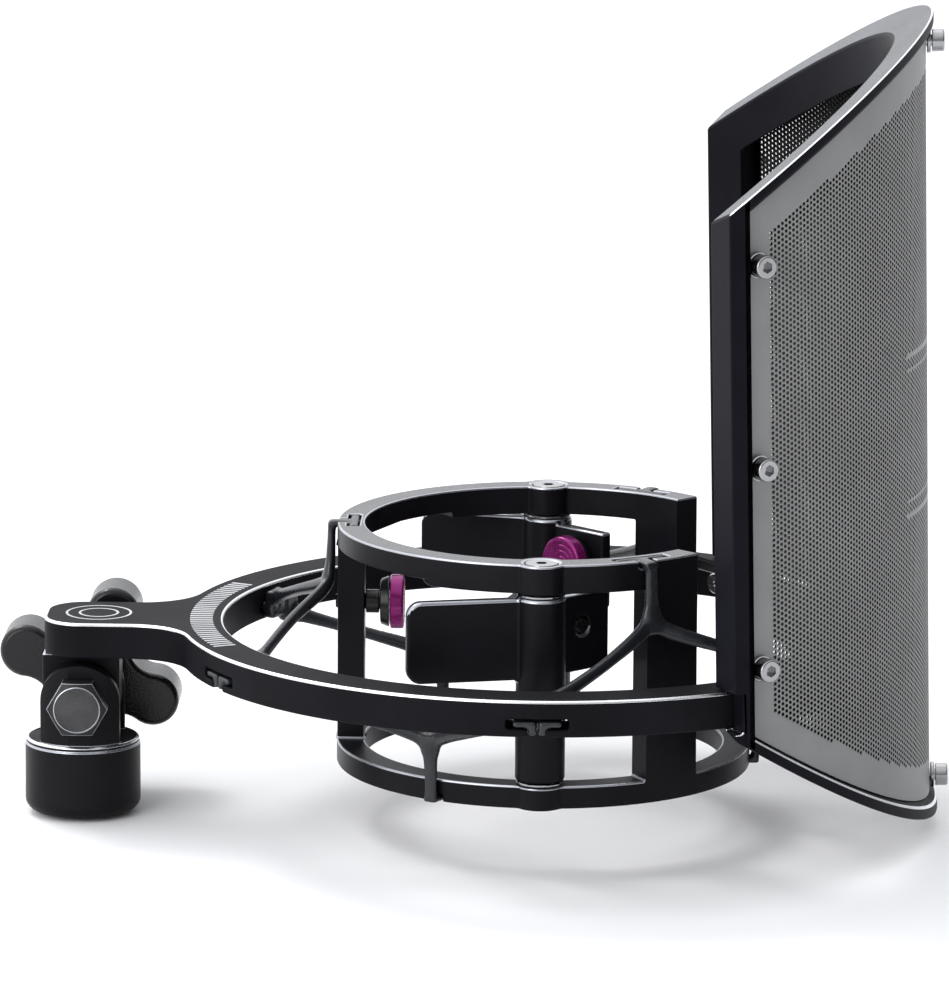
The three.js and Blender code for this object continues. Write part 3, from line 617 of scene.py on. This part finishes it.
def arm_markings():
    """Plain printed ticks round the hoop and two plain rings on the arm's end."""
    thick, pitch, half = 0.08, 1.45, 0.34
    middles = [180 + pitch * k for k in range(-17, 18)]
    parts = [bar(81.6, 87.2, middle - half, middle + half, 0, thick, 1) for middle in middles]
    for r in (5.0, 8.2):
        ring = collar(r - 0.6, r, 0, thick, 0.02)
        parts.append(moved(ring, shift(ARM_END_X + ARM_HALF_W, 0, 0)))
    bm = bmesh.new()
    for part in parts:
        bm.from_mesh(part.data)
        bpy.data.objects.remove(part)
    mesh = bpy.data.meshes.new("arm_markings")
    bm.to_mesh(mesh)
    bm.free()
    obj = bpy.data.objects.new("arm_markings", mesh)
    scene.collection.objects.link(obj)
    mesh.materials.append(MATERIALS["marking"])
    return put(obj, "arm_markings", "arm", None, MIC)


# ---------------------------------------------------------------- suspension
def spline(points, steps):
    """Catmull-Rom through the points, each a list of numbers."""
    points = [np.array(p, float) for p in points]
    points = [2 * points[0] - points[1]] + points + [2 * points[-1] - points[-2]]
    out = []
    for i in range(1, len(points) - 2):
        a, b, c, d = points[i - 1:i + 3]
        for k in range(steps):
            t = k / steps
            out.append(0.5 * (2 * b + (c - a) * t + (2 * a - 5 * b + 4 * c - d) * t ** 2
                              + (3 * b - a - 3 * c + d) * t ** 3))
    return out + [points[-2]]


def limb(points, steps=8, sides=16):
    """A tube through [x, y, z, half width, half thickness] points, its thin way towards the axis."""
    rows = spline(points, steps)
    verts = []
    for i, row in enumerate(rows):
        here = Vector(row[:3])
        along = Vector(rows[min(i + 1, len(rows) - 1)][:3]) - Vector(rows[max(i - 1, 0)][:3])
        along.normalize()
        out = Vector((here.x, here.y, 0))
        out = (out - along * out.dot(along)).normalized()
        wide = along.cross(out)
        for k in range(sides):
            a = 2 * math.pi * k / sides
            verts.append(here + wide * (row[3] * math.cos(a)) + out * (row[4] * math.sin(a)))
    faces = [tuple(range(sides)), tuple(range(len(verts) - sides, len(verts)))]
    for i in range(len(rows) - 1):
        for k in range(sides):
            m = (k + 1) % sides
            faces.append((i * sides + k, i * sides + m, (i + 1) * sides + m, (i + 1) * sides + k))
    return solid(verts, faces)


def polar(r, azimuth, *rest):
    a = math.radians(azimuth)
    return [r * math.cos(a), r * math.sin(a), *rest]


def flexure(up):
    """One Y-shaped arm at azimuth 0; a lower one mirrors an upper one about the cage's mid-height."""
    def level(z):
        return z if up else 2 * CAGE_MID - z

    inner, outer = HOOP_IN_R - 3.2, CAGE_R + CLEAR

    def levelled(rows):
        return [[x, y, level(z), w, t] for x, y, z, w, t in rows]

    def leg(side):
        return limb(levelled([
            [outer + 1.5, side * 0.3, 12.5, 1.9, 1.3],
            [outer + 2.6, side * 3.0, 7.8, 2.1, 1.5],
            polar(CAGE_R + 12.5, side * 15.5, 2.8, 1.65, 1.45),
            polar(HOOP_IN_R - 5.5, side * 25, -1.8, 1.95, 1.4),
            polar(HOOP_IN_R - 1.9, side * 27.8, -3.6, 3.3, 1.5),
            polar(HOOP_IN_R - 1.7, side * 28.2, -5.2, 4.0, 1.3),
        ]))

    stem = limb(levelled([
        [outer + 1.15, 0, CAGE_TOP - 1.3, 1.7, 1.1], [outer + 1.25, 0, 19, 1.75, 1.15],
        [outer + 1.5, 0, 13, 2.1, 1.35], [outer + 2.3, 0, 9.0, 2.9, 1.6], [outer + 2.6, 0, 6.6, 2.2, 1.3],
    ]))
    recess = level(CAGE_TOP - HEAD_T + CLEAR)
    bridge = block(CAGE_IN_R + 3.2, outer + 2.1, -1.9, 1.9, recess, level(CAGE_TOP))
    head = block(CAGE_IN_R + 1.5, CAGE_IN_R + 4, -HEAD_W / 2, HEAD_W / 2, recess, level(CAGE_TOP))
    body = join(stem, leg(1), leg(-1), bridge, head)
    for side in (1, -1):
        near, far = -side * 0.2, -side * (SLOT_W / 2 - 1.5)
        feet = [
            block(inner, HOOP_R + 0.1, near, far, SLOT_NECK + CLEAR, SLOT_TOP - 0.5),
            block(inner, HOOP_R + 0.1, near, -side * 2.1, -HOOP_H + CLEAR, SLOT_NECK + 0.6),
            block(inner, HOOP_IN_R - CLEAR, near, far, level(-HOOP_H + CLEAR), level(-1.4)),
        ]
        for foot in feet:
            join(body, moved(foot, turn("Z", 30 * side)))
    remesh = body.modifiers.new("remesh", "REMESH")
    remesh.mode = "VOXEL"
    remesh.voxel_size = 0.42
    smooth = body.modifiers.new("smooth", "SMOOTH")
    smooth.factor = 0.5
    smooth.iterations = 24
    settle(body)
    body.data.shade_smooth()
    return body


def add_suspension():
    for up in (True, False):
        shape = flexure(up)
        for spin in (0, 120, 240):
            azimuth = spin + (60 if up else 0)
            node = f"suspension_{'upper' if up else 'lower'}_{azimuth}"
            arm = copied(shape)
            slot = SLOT_OF[node]
            arm.name = f"fine_{node}"
            moved(arm, turn("Z", azimuth), Matrix.Scale(MM, 4), Matrix.Translation(MIC))
            arm.data.materials.clear()
            arm.data.materials.append(MATERIALS[slot])
            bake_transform(arm)
            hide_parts(node)
        bpy.data.objects.remove(shape)


# ---------------------------------------------------------------- cage
def tee_recess(azimuth, up):
    span = HEAD_W / 2 + CLEAR
    z0, z1 = (CAGE_TOP - HEAD_T, CAGE_TOP + 1) if up else (CAGE_BOTTOM - 1, CAGE_BOTTOM + HEAD_T)
    head = block(CAGE_IN_R + 1.2, CAGE_IN_R + 4.3, -span, span, z0, z1)
    stem = block(CAGE_IN_R + 3, CAGE_R + 2, -2.3, 2.3, z0, z1)
    return moved(join(head, stem), turn("Z", azimuth))


def pin_holes(side):
    place = shift(0, side * PIN_RING_R, 0)
    hole = rod(PIN_R + CLEAR, CAGE_BOTTOM - 1, CAGE_TOP + 1, 40)
    top = lathe([(0, CAGE_TOP - 2.1), (2.4, CAGE_TOP - 2.1), (4.8, CAGE_TOP + 0.3), (0, CAGE_TOP + 0.3)], 40)
    low = lathe([(0, CAGE_BOTTOM - 0.3), (4.8, CAGE_BOTTOM - 0.3), (2.4, CAGE_BOTTOM + 2.1),
                 (0, CAGE_BOTTOM + 2.1)], 40)
    return [moved(part, place) for part in (hole, top, low)]


def mic_cage():
    under = CAGE_TOP - RING_H
    body = bar(CAGE_IN_R, CAGE_R, CAGE_MOUTH, 360 - CAGE_MOUTH, under, CAGE_TOP)
    ring = cut(rod(CAGE_R, CAGE_BOTTOM, CAGE_BOTTOM + RING_H, 144), rod(CAGE_IN_R, CAGE_BOTTOM - 1, 0, 144))
    join(body, ring)
    for s in (1, -1):
        join(body,
             bar(CAGE_IN_R, CAGE_R, 90 * s - 32.5, 90 * s + 32.5, under - RING_DROP, CAGE_TOP - 2),
             bar(CAGE_IN_R, CAGE_R, s * CAGE_MOUTH, s * POST_END, CAGE_BOTTOM + 1, CAGE_TOP - 1),
             moved(rod(BOSS_R, under - RING_DROP, CAGE_TOP, 64), shift(0, s * PIN_RING_R, 0)),
             moved(rod(BOSS_R, CAGE_BOTTOM, CAGE_BOTTOM + RING_H, 64), shift(0, s * PIN_RING_R, 0)))
    join(body, block(-CAGE_R + 0.2, -CAGE_IN_R, -4, 4, CAGE_BOTTOM + 1, CAGE_TOP - 1))
    for azimuth in (60, 180, 300):
        cut(body, tee_recess(azimuth, True), tee_recess(azimuth - 60, False))
    for s in (1, -1):
        cut(body, *pin_holes(s))
    cut(body, moved(rod(STUD_HOLE_R, -60, -40, 32), ALONG_X, shift(0, 0, REAR_PAD_Z)))
    soften(body, 0.45, 2, 40)

    # up-facing rounded edges get a painted highlight, and the upper ring's top faces a painted sheen
    def finish_and_highlight(centre, normal, index):
        if takes_painted_highlight(normal, index):
            return "painted_highlight_edge"
        return "painted_ring_top_sheen" if normal.z > 0.9 and centre.z > CAGE_TOP - 0.5 else "satin_black"

    mark(body.data, ["satin_black", "painted_highlight_edge", "painted_ring_top_sheen"], finish_and_highlight)
    return body


# ---------------------------------------------------------------- clamp jaws
def to_pin(side, angle):
    return [turn("Z", -side * angle), shift(0, side * PIN_RING_R, 0)]


def finger_plate(side):
    r = 3.5
    outline = ([(0, JAW_BOTTOM), (0, JAW_TOP)] + arc(-JAW_PLATE_L + r, JAW_TOP - r, r, 90, 180, 12)
               + arc(-JAW_PLATE_L + r, JAW_BOTTOM + r, r, 180, 270, 12))
    return moved(prism(outline, -JAW_T / 2, JAW_T / 2), UPRIGHT, *to_pin(side, JAW_FLARE))


def on_jaw(obj, side):
    """From a frame whose +Z is the pad's face direction to its place on a jaw."""
    along, face = 13.2, PAD_ARM_OFFSET + JAW_T / 2 + CLEAR
    on_arm = [turn("X", side * 90), shift(along, -side * face, JAW_PAD_Z)]
    return moved(obj, *on_arm, *to_pin(side, JAW_ARM_ANGLE))


def jaw(side):
    place = shift(0, side * PIN_RING_R, 0)
    body = moved(rod(BOSS_R, BARREL_BOTTOM, BARREL_TOP, 64), place)
    arm = block(0, JAW_ARM_L, -JAW_T / 2, JAW_T / 2, JAW_BOTTOM, JAW_TOP - 0.8)
    moved(arm, shift(0, -side * PAD_ARM_OFFSET, 0), *to_pin(side, JAW_ARM_ANGLE))
    join(body, finger_plate(side), arm)
    cut(body,
        moved(rod(PIN_R + CLEAR, BARREL_BOTTOM - 1, BARREL_TOP + 1, 40), place),
        moved(rod(4.7, BARREL_BOTTOM - 1, BARREL_BOTTOM + 11, 48), place),
        on_jaw(rod(STUD_HOLE_R, -10, 5, 32), side))
    return soften(body, 0.75, 3, 40)


def jaw_pin():
    low, high, thread = CAGE_BOTTOM + 2.6, CAGE_TOP - 2.6, 6
    return shade(lathe([
        (0, low + thread), (1.6, low + thread), (1.6, low), (PIN_R - 0.3, low), (PIN_R, low + 0.3),
        (PIN_R, high - 0.3), (PIN_R - 0.3, high), (1.6, high), (1.6, high - thread), (0, high - thread),
    ], 48))


def jaw_spring():
    turns, per_turn, r, wire = 3, 36, 3.7, 0.5
    start, pitch, sides = BARREL_BOTTOM + 0.8, 8.6 / 3, 10
    verts, faces = [], []
    count = turns * per_turn + 1
    for i in range(count):
        a = 2 * math.pi * i / per_turn
        out = Vector((math.cos(a), math.sin(a), 0))
        here = out * r + Vector((0, 0, start + pitch * i / per_turn))
        for k in range(sides):
            b = 2 * math.pi * k / sides
            verts.append(here + out * (wire * math.cos(b)) + Vector((0, 0, wire * math.sin(b))))
    for i in range(count - 1):
        for k in range(sides):
            m = (k + 1) % sides
            faces.append((i * sides + k, i * sides + m, (i + 1) * sides + m, (i + 1) * sides + k))
    faces += [tuple(range(sides)), tuple(range(len(verts) - sides, len(verts)))]
    return shade(solid(verts, faces), 60)


def countersunk_screw():
    body = lathe([
        (0, -6.6), (1.1, -6.6), (1.25, -6.4), (1.25, -2), (2.0, -2), (3.9, -0.12), (3.85, 0), (0, 0),
    ], 48)
    cut(body, prism(hexagon(1.45), -1.6, 1))
    return shade(body, 30)


def pad_stud(reach):
    """A threaded stud with the cup that carries the pad."""
    ridges = []
    z = -reach + 0.4
    while z < -0.7:
        ridges += [(1.75, z), (2, z + 0.3)]
        z += 0.6
    cup = [
        (2, -0.1), (PAD_R - 1.6, 0.05), (PAD_R - 1.1, 0.3),
        (PAD_R - 0.45, 1.9), (PAD_R - 0.55, 2.2), (0, 2.2),
    ]
    return shade(lathe([(0, -reach), (1.6, -reach)] + ridges + cup, 64), 45)


def pad_disc():
    """A purple disc with turned rings on its face."""
    face, edge = 5.9, 0.7
    rings = []
    r = PAD_R - edge - 0.5
    while r > 1.0:
        rings += [(r, face), (r - 0.25, face - 0.3), (r - 0.6, face - 0.3), (r - 0.85, face)]
        r -= 1.45
    side = [(PAD_R - 0.3, 2.5), (PAD_R, 2.8)] + arc(PAD_R - edge, face - edge, edge, 0, 90, 3)
    return shade(lathe([(0, 2.5)] + side + rings + [(0, face)], 96), 42)


def add_clamp():
    for side, name in ((-1, "near"), (1, "far")):
        at_pin = shift(0, side * PIN_RING_R, 0)
        stand_in(jaw(side), f"{name}_jaw")
        stand_in(on_jaw(pad_stud(JAW_T + 0.5), side), f"{name}_pad_stud")
        stand_in(on_jaw(pad_disc(), side), f"{name}_pad")
        stand_in(moved(jaw_pin(), at_pin), f"{name}_jaw_pin")
        stand_in(moved(jaw_spring(), at_pin), f"{name}_jaw_spring")
        upper = collar(PIN_R + CLEAR, 5.8, BARREL_TOP + CLEAR, BARREL_TOP + 0.8, 0.1)
        lower = collar(PIN_R + CLEAR, 5.8, BARREL_BOTTOM - 0.8, BARREL_BOTTOM - CLEAR, 0.1)
        stand_in(shade(moved(upper, at_pin)), f"{name}_upper_washer")
        stand_in(shade(moved(lower, at_pin)), f"{name}_lower_washer")
        high = shift(0, side * PIN_RING_R, CAGE_TOP - 0.1)
        low = shift(0, side * PIN_RING_R, CAGE_BOTTOM + 0.1)
        stand_in(moved(countersunk_screw(), high), f"{name}_upper_screw")
        stand_in(moved(countersunk_screw(), turn("X", 180), low), f"{name}_lower_screw")
    nut = 3.2
    place = [ALONG_X, shift(-CAGE_IN_R + nut + 2 * CLEAR, 0, REAR_PAD_Z)]
    stand_in(moved(shade(collar(2 + CLEAR, 2.9, -nut - CLEAR, -CLEAR)), *place), "rear_pad_nut")
    stand_in(moved(pad_stud(nut + CAGE_R - CAGE_IN_R + 1), *place), "rear_pad_stud")
    stand_in(moved(pad_disc(), *place), "rear_pad")


# ---------------------------------------------------------------- pop shield
def half_height(x, inset):
    return SHIELD_HALF_H - SHIELD_SLOPE * (SHIELD_R - x) - inset * math.hypot(1, SHIELD_SLOPE)


def elevation(inset):
    corners = [(20, -1), (110, -1), (110, 1), (20, 1)]
    outline = [(x, SHIELD_MID + s * half_height(x, inset)) for x, s in corners]
    return moved(prism(outline, -SHIELD_R, SHIELD_R), UPRIGHT)


def sector(r_in, r_out, half, step=0.8):
    return bar(r_in, r_out, -half, half, -60, 170, step)


def screw_places():
    sides = [(s * SCREW_AZIMUTH, SCREW_MID + k * SCREW_PITCH, f"{name}_{k + 2}")
             for s, name in ((-1, "near"), (1, "far")) for k in (-1, 0, 1)]
    front = [(0, SHIELD_MID + s * SCREW_FRONT_Z, f"front_{name}") for s, name in ((1, "top"), (-1, "bottom"))]
    return sides + front


def radial(obj, azimuth, z):
    return moved(obj, shift(0, 0, z), turn("Z", azimuth))


def leaned(obj):
    """From the shield's own upright frame to its place on the hoop."""
    to_pivot, back = shift(SHIELD_X - LEAN_X, 0, HOOP_H / 2), shift(LEAN_X, 0, -HOOP_H / 2)
    return moved(obj, to_pivot, turn("Y", SHIELD_LEAN), back)


def shield_frame():
    body = common(sector(SHIELD_IN_R, SHIELD_R, SHIELD_END), elevation(0))
    cut(body, common(sector(SHIELD_IN_R - 3, SHIELD_R + 3, WINDOW_END, 1.2), elevation(LIP + MESH_BORDER)))
    cut(body, common(sector(MESH_R - MESH_T - CLEAR, SHIELD_R + 3, MESH_END + 0.3), elevation(LIP)))
    hoop_room = cut(rod(HOOP_R + CLEAR, -HOOP_H - CLEAR, CLEAR, 180), rod(HOOP_IN_R - 5, -HOOP_H - 1, 1, 90))
    for s in (1, -1):
        ends = (s * (SHIELD_END - 1.4), s * (SHIELD_END + 4))
        cut(body, bar(HOOP_R - 1, SHIELD_R + 2, *ends, -HOOP_H - CLEAR, CLEAR))
    for azimuth, z, _ in screw_places():
        cut(body, radial(moved(rod(M3_BORE_R, 86.5, 96, 24), ALONG_X), azimuth, z))
    cut(leaned(body), hoop_room)
    for s in (1, -1):
        cut(body, radial(moved(rod(M3_BORE_R, 85, 93, 24), ALONG_X), s * HOLDER_AZIMUTH, -HOOP_H / 2))
    soften(body, 0.7, 3, 40)

    # up-facing outer rounded edges get the polished metal, partly a painted highlight, and the upper rim's
    # up-facing faces a painted sheen
    def finish_and_highlight(centre, normal, index):
        r = math.hypot(centre.x - SHIELD_X, centre.y)
        if index == EDGE and normal.z > 0.3:
            return "polished_and_highlight_edge" if r > SHIELD_IN_R + 4 else "frame_black"
        return "painted_rim_top_sheen" if 0.5 < normal.z < 0.95 and centre.z > SHIELD_MID else "frame_black"

    mark(body.data, ["frame_black", "polished_and_highlight_edge", "painted_rim_top_sheen"], finish_and_highlight)
    return body


def sheet_border():
    """The sheet's plain margin."""
    body = common(sector(MESH_R - MESH_T, MESH_R, MESH_END), elevation(LIP + CLEAR))
    cut(body, common(sector(MESH_R - 3, MESH_R + 3, WINDOW_END, 1.2), elevation(LIP + MESH_BORDER)))
    for azimuth, z, _ in screw_places():
        cut(body, radial(moved(rod(M3_BORE_R, 88, 96, 24), ALONG_X), azimuth, z))
    return shade(leaned(body), 30)


HOLE_PITCH = 1.28  # between the centres of neighbouring holes
HOLE_R = 0.46
SHEET_STRIPS = 5
PLAIN_BANDS = (16.0, 19.5)  # heights of the bands without holes, above and below the middle
BAND_HALF_W = 34


def perforated_strips():
    """The holed part of the sheet, as closed strips: staggered six-sided holes through its thickness."""
    mid_r, thick = MESH_R - MESH_T / 2, MESH_T - 0.1
    column = HOLE_PITCH * math.sqrt(3) / 2
    half_width = mid_r * math.radians(WINDOW_END)
    columns = int(half_width / column) + 3
    rows = int(SHIELD_HALF_H / HOLE_PITCH) + 3
    s, z = {}, {}
    kind = {}
    for i in range(-columns, columns + 1):
        for j in range(-rows, rows + 1):
            si, zj = i * column, (j + 0.5 * (i % 2)) * HOLE_PITCH
            x = mid_r * math.cos(si / mid_r)
            inside = min(half_width - abs(si), half_height(x, LIP + MESH_BORDER) - abs(zj))
            if inside > -1.5 * HOLE_PITCH:
                from_band = min(abs(abs(zj) - height) for height in PLAIN_BANDS)
                in_band = from_band < 0.5 * HOLE_PITCH and abs(si) < BAND_HALF_W
                plain = inside < 0.55 * HOLE_PITCH or in_band
                kind[i, j] = "plain" if plain else "hole"
                s[i, j], z[i, j] = si, zj
    corners = hexagon(HOLE_R)

    def up_right(i, j):
        return i + 1, j + (i % 2)

    def down_right(i, j):
        return i + 1, j + (i % 2) - 1

    strips = [[] for _ in range(SHEET_STRIPS)]
    for (i, j), what in kind.items():
        strip = strips[min(SHEET_STRIPS - 1, int((i + columns) * SHEET_STRIPS / (2 * columns + 1)))]
        p, above, right_up, right_down = (i, j), (i, j + 1), up_right(i, j), down_right(i, j)
        if what == "plain":
            strip.append([(p, k) for k in range(6)])
        if above in kind:
            strip.append([(p, 2), (p, 1), (above, 5), (above, 4)])
        if right_up in kind:
            strip.append([(p, 1), (p, 0), (right_up, 4), (right_up, 3)])
        if right_down in kind:
            strip.append([(p, 0), (p, 5), (right_down, 3), (right_down, 2)])
        if above in kind and right_up in kind:
            strip.append([(p, 1), (right_up, 3), (above, 5)])
        if right_up in kind and right_down in kind:
            strip.append([(p, 0), (right_down, 2), (right_up, 4)])
    return [strip_solid(f, s, z, corners, mid_r, thick) for f in strips]


def strip_solid(faces, s, z, corners, mid_r, thick):
    """Rolls flat faces, each a list of (hole, corner) keys, into a curved strip with thickness."""
    index = {}
    flat = []
    polygons = []
    for face in faces:
        polygon = []
        for key in face:
            if key not in index:
                index[key] = len(flat)
                (place, k) = key
                flat.append((s[place] + corners[k][0], z[place] + corners[k][1]))
            polygon.append(index[key])
        sides = [(flat[polygon[n - 1]], flat[polygon[n]]) for n in range(len(polygon))]
        area = sum(p[0] * q[1] - q[0] * p[1] for p, q in sides)
        polygons.append(polygon if area > 0 else polygon[::-1])
    used = dict.fromkeys((polygon[n - 1], polygon[n]) for polygon in polygons for n in range(len(polygon)))
    count = len(flat)
    walls = [[b, a, a + count, b + count] for a, b in used if (b, a) not in used]
    back = [[v + count for v in polygon[::-1]] for polygon in polygons]
    every = polygons + back + walls
    flat = np.array(flat)
    angle = flat[:, 0] / mid_r
    shell = [np.column_stack((r * np.cos(angle), r * np.sin(angle), flat[:, 1] + SHIELD_MID))
             for r in (mid_r + thick / 2, mid_r - thick / 2)]
    verts = np.concatenate(shell).astype(np.float32)
    mesh = bpy.data.meshes.new("strip")
    mesh.vertices.add(len(verts))
    mesh.vertices.foreach_set("co", verts.ravel())
    sizes = np.array([len(p) for p in every], np.int32)
    mesh.loops.add(int(sizes.sum()))
    mesh.loops.foreach_set("vertex_index", np.concatenate([np.array(p, np.int32) for p in every]))
    mesh.polygons.add(len(every))
    mesh.polygons.foreach_set("loop_start", np.concatenate(([0], np.cumsum(sizes)[:-1])).astype(np.int32))
    mesh.update(calc_edges=True)
    mesh.materials.append(MATERIALS["screen_steel"])
    mesh.materials.append(MATERIALS["painted_shade_back_and_holes"])
    # the back and the hole walls take the near-black: painted shade in the holes and inside the shield
    inner = [0] * len(polygons) + [1] * (len(back) + len(walls))
    mesh.polygons.foreach_set("material_index", np.array(inner, np.int32))
    obj = bpy.data.objects.new("strip", mesh)
    scene.collection.objects.link(obj)
    return leaned(obj)


def cap_screw():
    """A socket cap screw whose head sits on z = 0."""
    head = [(2.75, 0.15), (2.75, 2.5)] + [(2.25 + 0.5 * math.cos(a), 2.5 + 0.5 * math.sin(a))
                                         for a in np.radians([22, 45, 68, 90])]
    body = lathe([(0, -5.6), (1.2, -5.6), (1.45, -5.3), (1.45, 0), (2.6, 0)] + head + [(1.75, 3), (0, 3)], 56)
    cut(body, prism(hexagon(1.45), 1.3, 4))
    return shade(body, 35)


def add_shield():
    stand_in(shield_frame(), "shield_frame")
    stand_in(sheet_border(), "shield_mesh")
    for number, strip in enumerate(perforated_strips(), 1):
        put(strip, f"fine_shield_mesh_holes_{number}", "arm", "screen_steel", MIC)
        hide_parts("shield_mesh")
    seat, washer = MESH_R + CLEAR, 0.9
    for azimuth, z, label in screw_places():
        ring = moved(shade(collar(M3_BORE_R, 3.1, 0, washer, 0.2, 48)), ALONG_X, shift(seat, 0, 0))
        screw = moved(cap_screw(), ALONG_X, shift(seat + washer + CLEAR, 0, 0))
        stand_in(leaned(radial(ring, azimuth, z)), f"mesh_washer_{label}")
        stand_in(leaned(radial(screw, azimuth, z)), f"mesh_screw_{label}")
    for azimuth, name in ((-HOLDER_AZIMUTH, "near"), (HOLDER_AZIMUTH, "far")):
        shank = rod(1.5, HOOP_IN_R - 1, 91.6, 32)
        head = cut(collar(0.5, 2.75, HOOP_IN_R - 2.8, HOOP_IN_R - CLEAR, 0.3), rod(0.6, 0, 1))
        head = join(head, rod(1.4, HOOP_IN_R - 1.6, HOOP_IN_R - 0.4))
        body = moved(shade(join(shank, head), 35), ALONG_X)
        stand_in(radial(body, azimuth, -HOOP_H / 2), f"hoop_screw_{name}")


# ---------------------------------------------------------------- stage, lights and camera
def add_floor():
    floor = prism([(-8, -8), (8, -8), (8, 8), (-8, 8)], -0.02, -0.0008)
    floor.name = "studio_floor"
    material, _, _, shader = new_material("pale_floor")
    shader.inputs["Base Color"].default_value = (0.86, 0.86, 0.87, 1)
    shader.inputs["Roughness"].default_value = 0.9
    shader.inputs["Specular IOR Level"].default_value = 0.1
    floor.data.materials.append(material)


def add_world():
    """A soft studio, brighter above and on the stand's side."""
    world = bpy.data.worlds.new("studio")
    world.use_nodes = True
    tree = world.node_tree
    place = tree.nodes.new("ShaderNodeTexCoord")
    towards = tree.nodes.new("ShaderNodeVectorMath")
    towards.operation = "DOT_PRODUCT"
    towards.inputs[1].default_value = (-0.62, 0.30, 0.72)
    strength = tree.nodes.new("ShaderNodeMapRange")
    strength.interpolation_type = "SMOOTHSTEP"
    strength.inputs["From Min"].default_value = -0.55
    strength.inputs["From Max"].default_value = 0.85
    strength.inputs["To Min"].default_value = 0.25
    strength.inputs["To Max"].default_value = 1.55
    tree.links.new(place.outputs["Generated"], towards.inputs[0])
    tree.links.new(towards.outputs["Value"], strength.inputs["Value"])
    tree.links.new(strength.outputs["Result"], tree.nodes["Background"].inputs["Strength"])
    tree.nodes["Background"].inputs["Color"].default_value = (0.97, 0.98, 1.0, 1)
    scene.world = world


def area_light(name, location, target, side, energy):
    data = bpy.data.lights.new(name, "AREA")
    data.size = side
    data.energy = energy
    lamp = bpy.data.objects.new(name, data)
    lamp.location = location
    lamp.rotation_euler = (Vector(target) - Vector(location)).to_track_quat("-Z", "Y").to_euler()
    scene.collection.objects.link(lamp)


def add_lights():
    sky = bpy.data.lights.new("soft_sky", "SUN")
    sky.energy, sky.angle = 0.4, math.radians(60)
    lamp = bpy.data.objects.new("soft_sky", sky)
    lamp.rotation_euler = (math.radians(-25), math.radians(-20), 0)
    scene.collection.objects.link(lamp)
    centre = (MIC.x, 0, MIC.z)
    area_light("key", (-0.45, 0.55, 0.95), centre, 0.35, 4)
    area_light("fill", (-0.75, -1.15, 0.55), centre, 0.9, 8)


VIEW_AZIMUTH, VIEW_ELEVATION, VIEW_ROLL = 1.5, 11.52, -0.4
VIEW_DISTANCE = 1.6993
VIEW_TARGET = Vector((0.0966, 0, 0.0790))
LENS_MM = 262.5


def add_camera():
    azimuth, elevation, roll = (math.radians(a) for a in (VIEW_AZIMUTH, VIEW_ELEVATION, VIEW_ROLL))
    back = Vector((math.sin(azimuth) * math.cos(elevation), -math.cos(azimuth) * math.cos(elevation),
                   math.sin(elevation)))
    right = Vector((math.cos(azimuth), math.sin(azimuth), 0))
    up = back.cross(right)
    tilted_right = right * math.cos(roll) - up * math.sin(roll)
    tilted_up = right * math.sin(roll) + up * math.cos(roll)
    camera = bpy.data.objects.new("camera", bpy.data.cameras.new("camera"))
    camera.data.lens = LENS_MM
    camera.data.sensor_width = 36
    camera.data.sensor_fit = "HORIZONTAL"
    camera.data.clip_start, camera.data.clip_end = 0.05, 50
    axes = Matrix((tilted_right, tilted_up, back)).transposed()
    camera.matrix_world = Matrix.Translation(VIEW_TARGET + back * VIEW_DISTANCE) @ axes.to_4x4()
    scene.collection.objects.link(camera)
    scene.camera = camera


add_camera()
add_floor()
add_world()
add_lights()
add_stand_adapter()
stand_in(arm_hoop(), "arm_hoop")
arm_markings()
add_suspension()
stand_in(mic_cage(), "mic_cage")
add_clamp()
add_shield()
scene.view_settings.view_transform = "Standard"
scene.view_settings.look = "None"
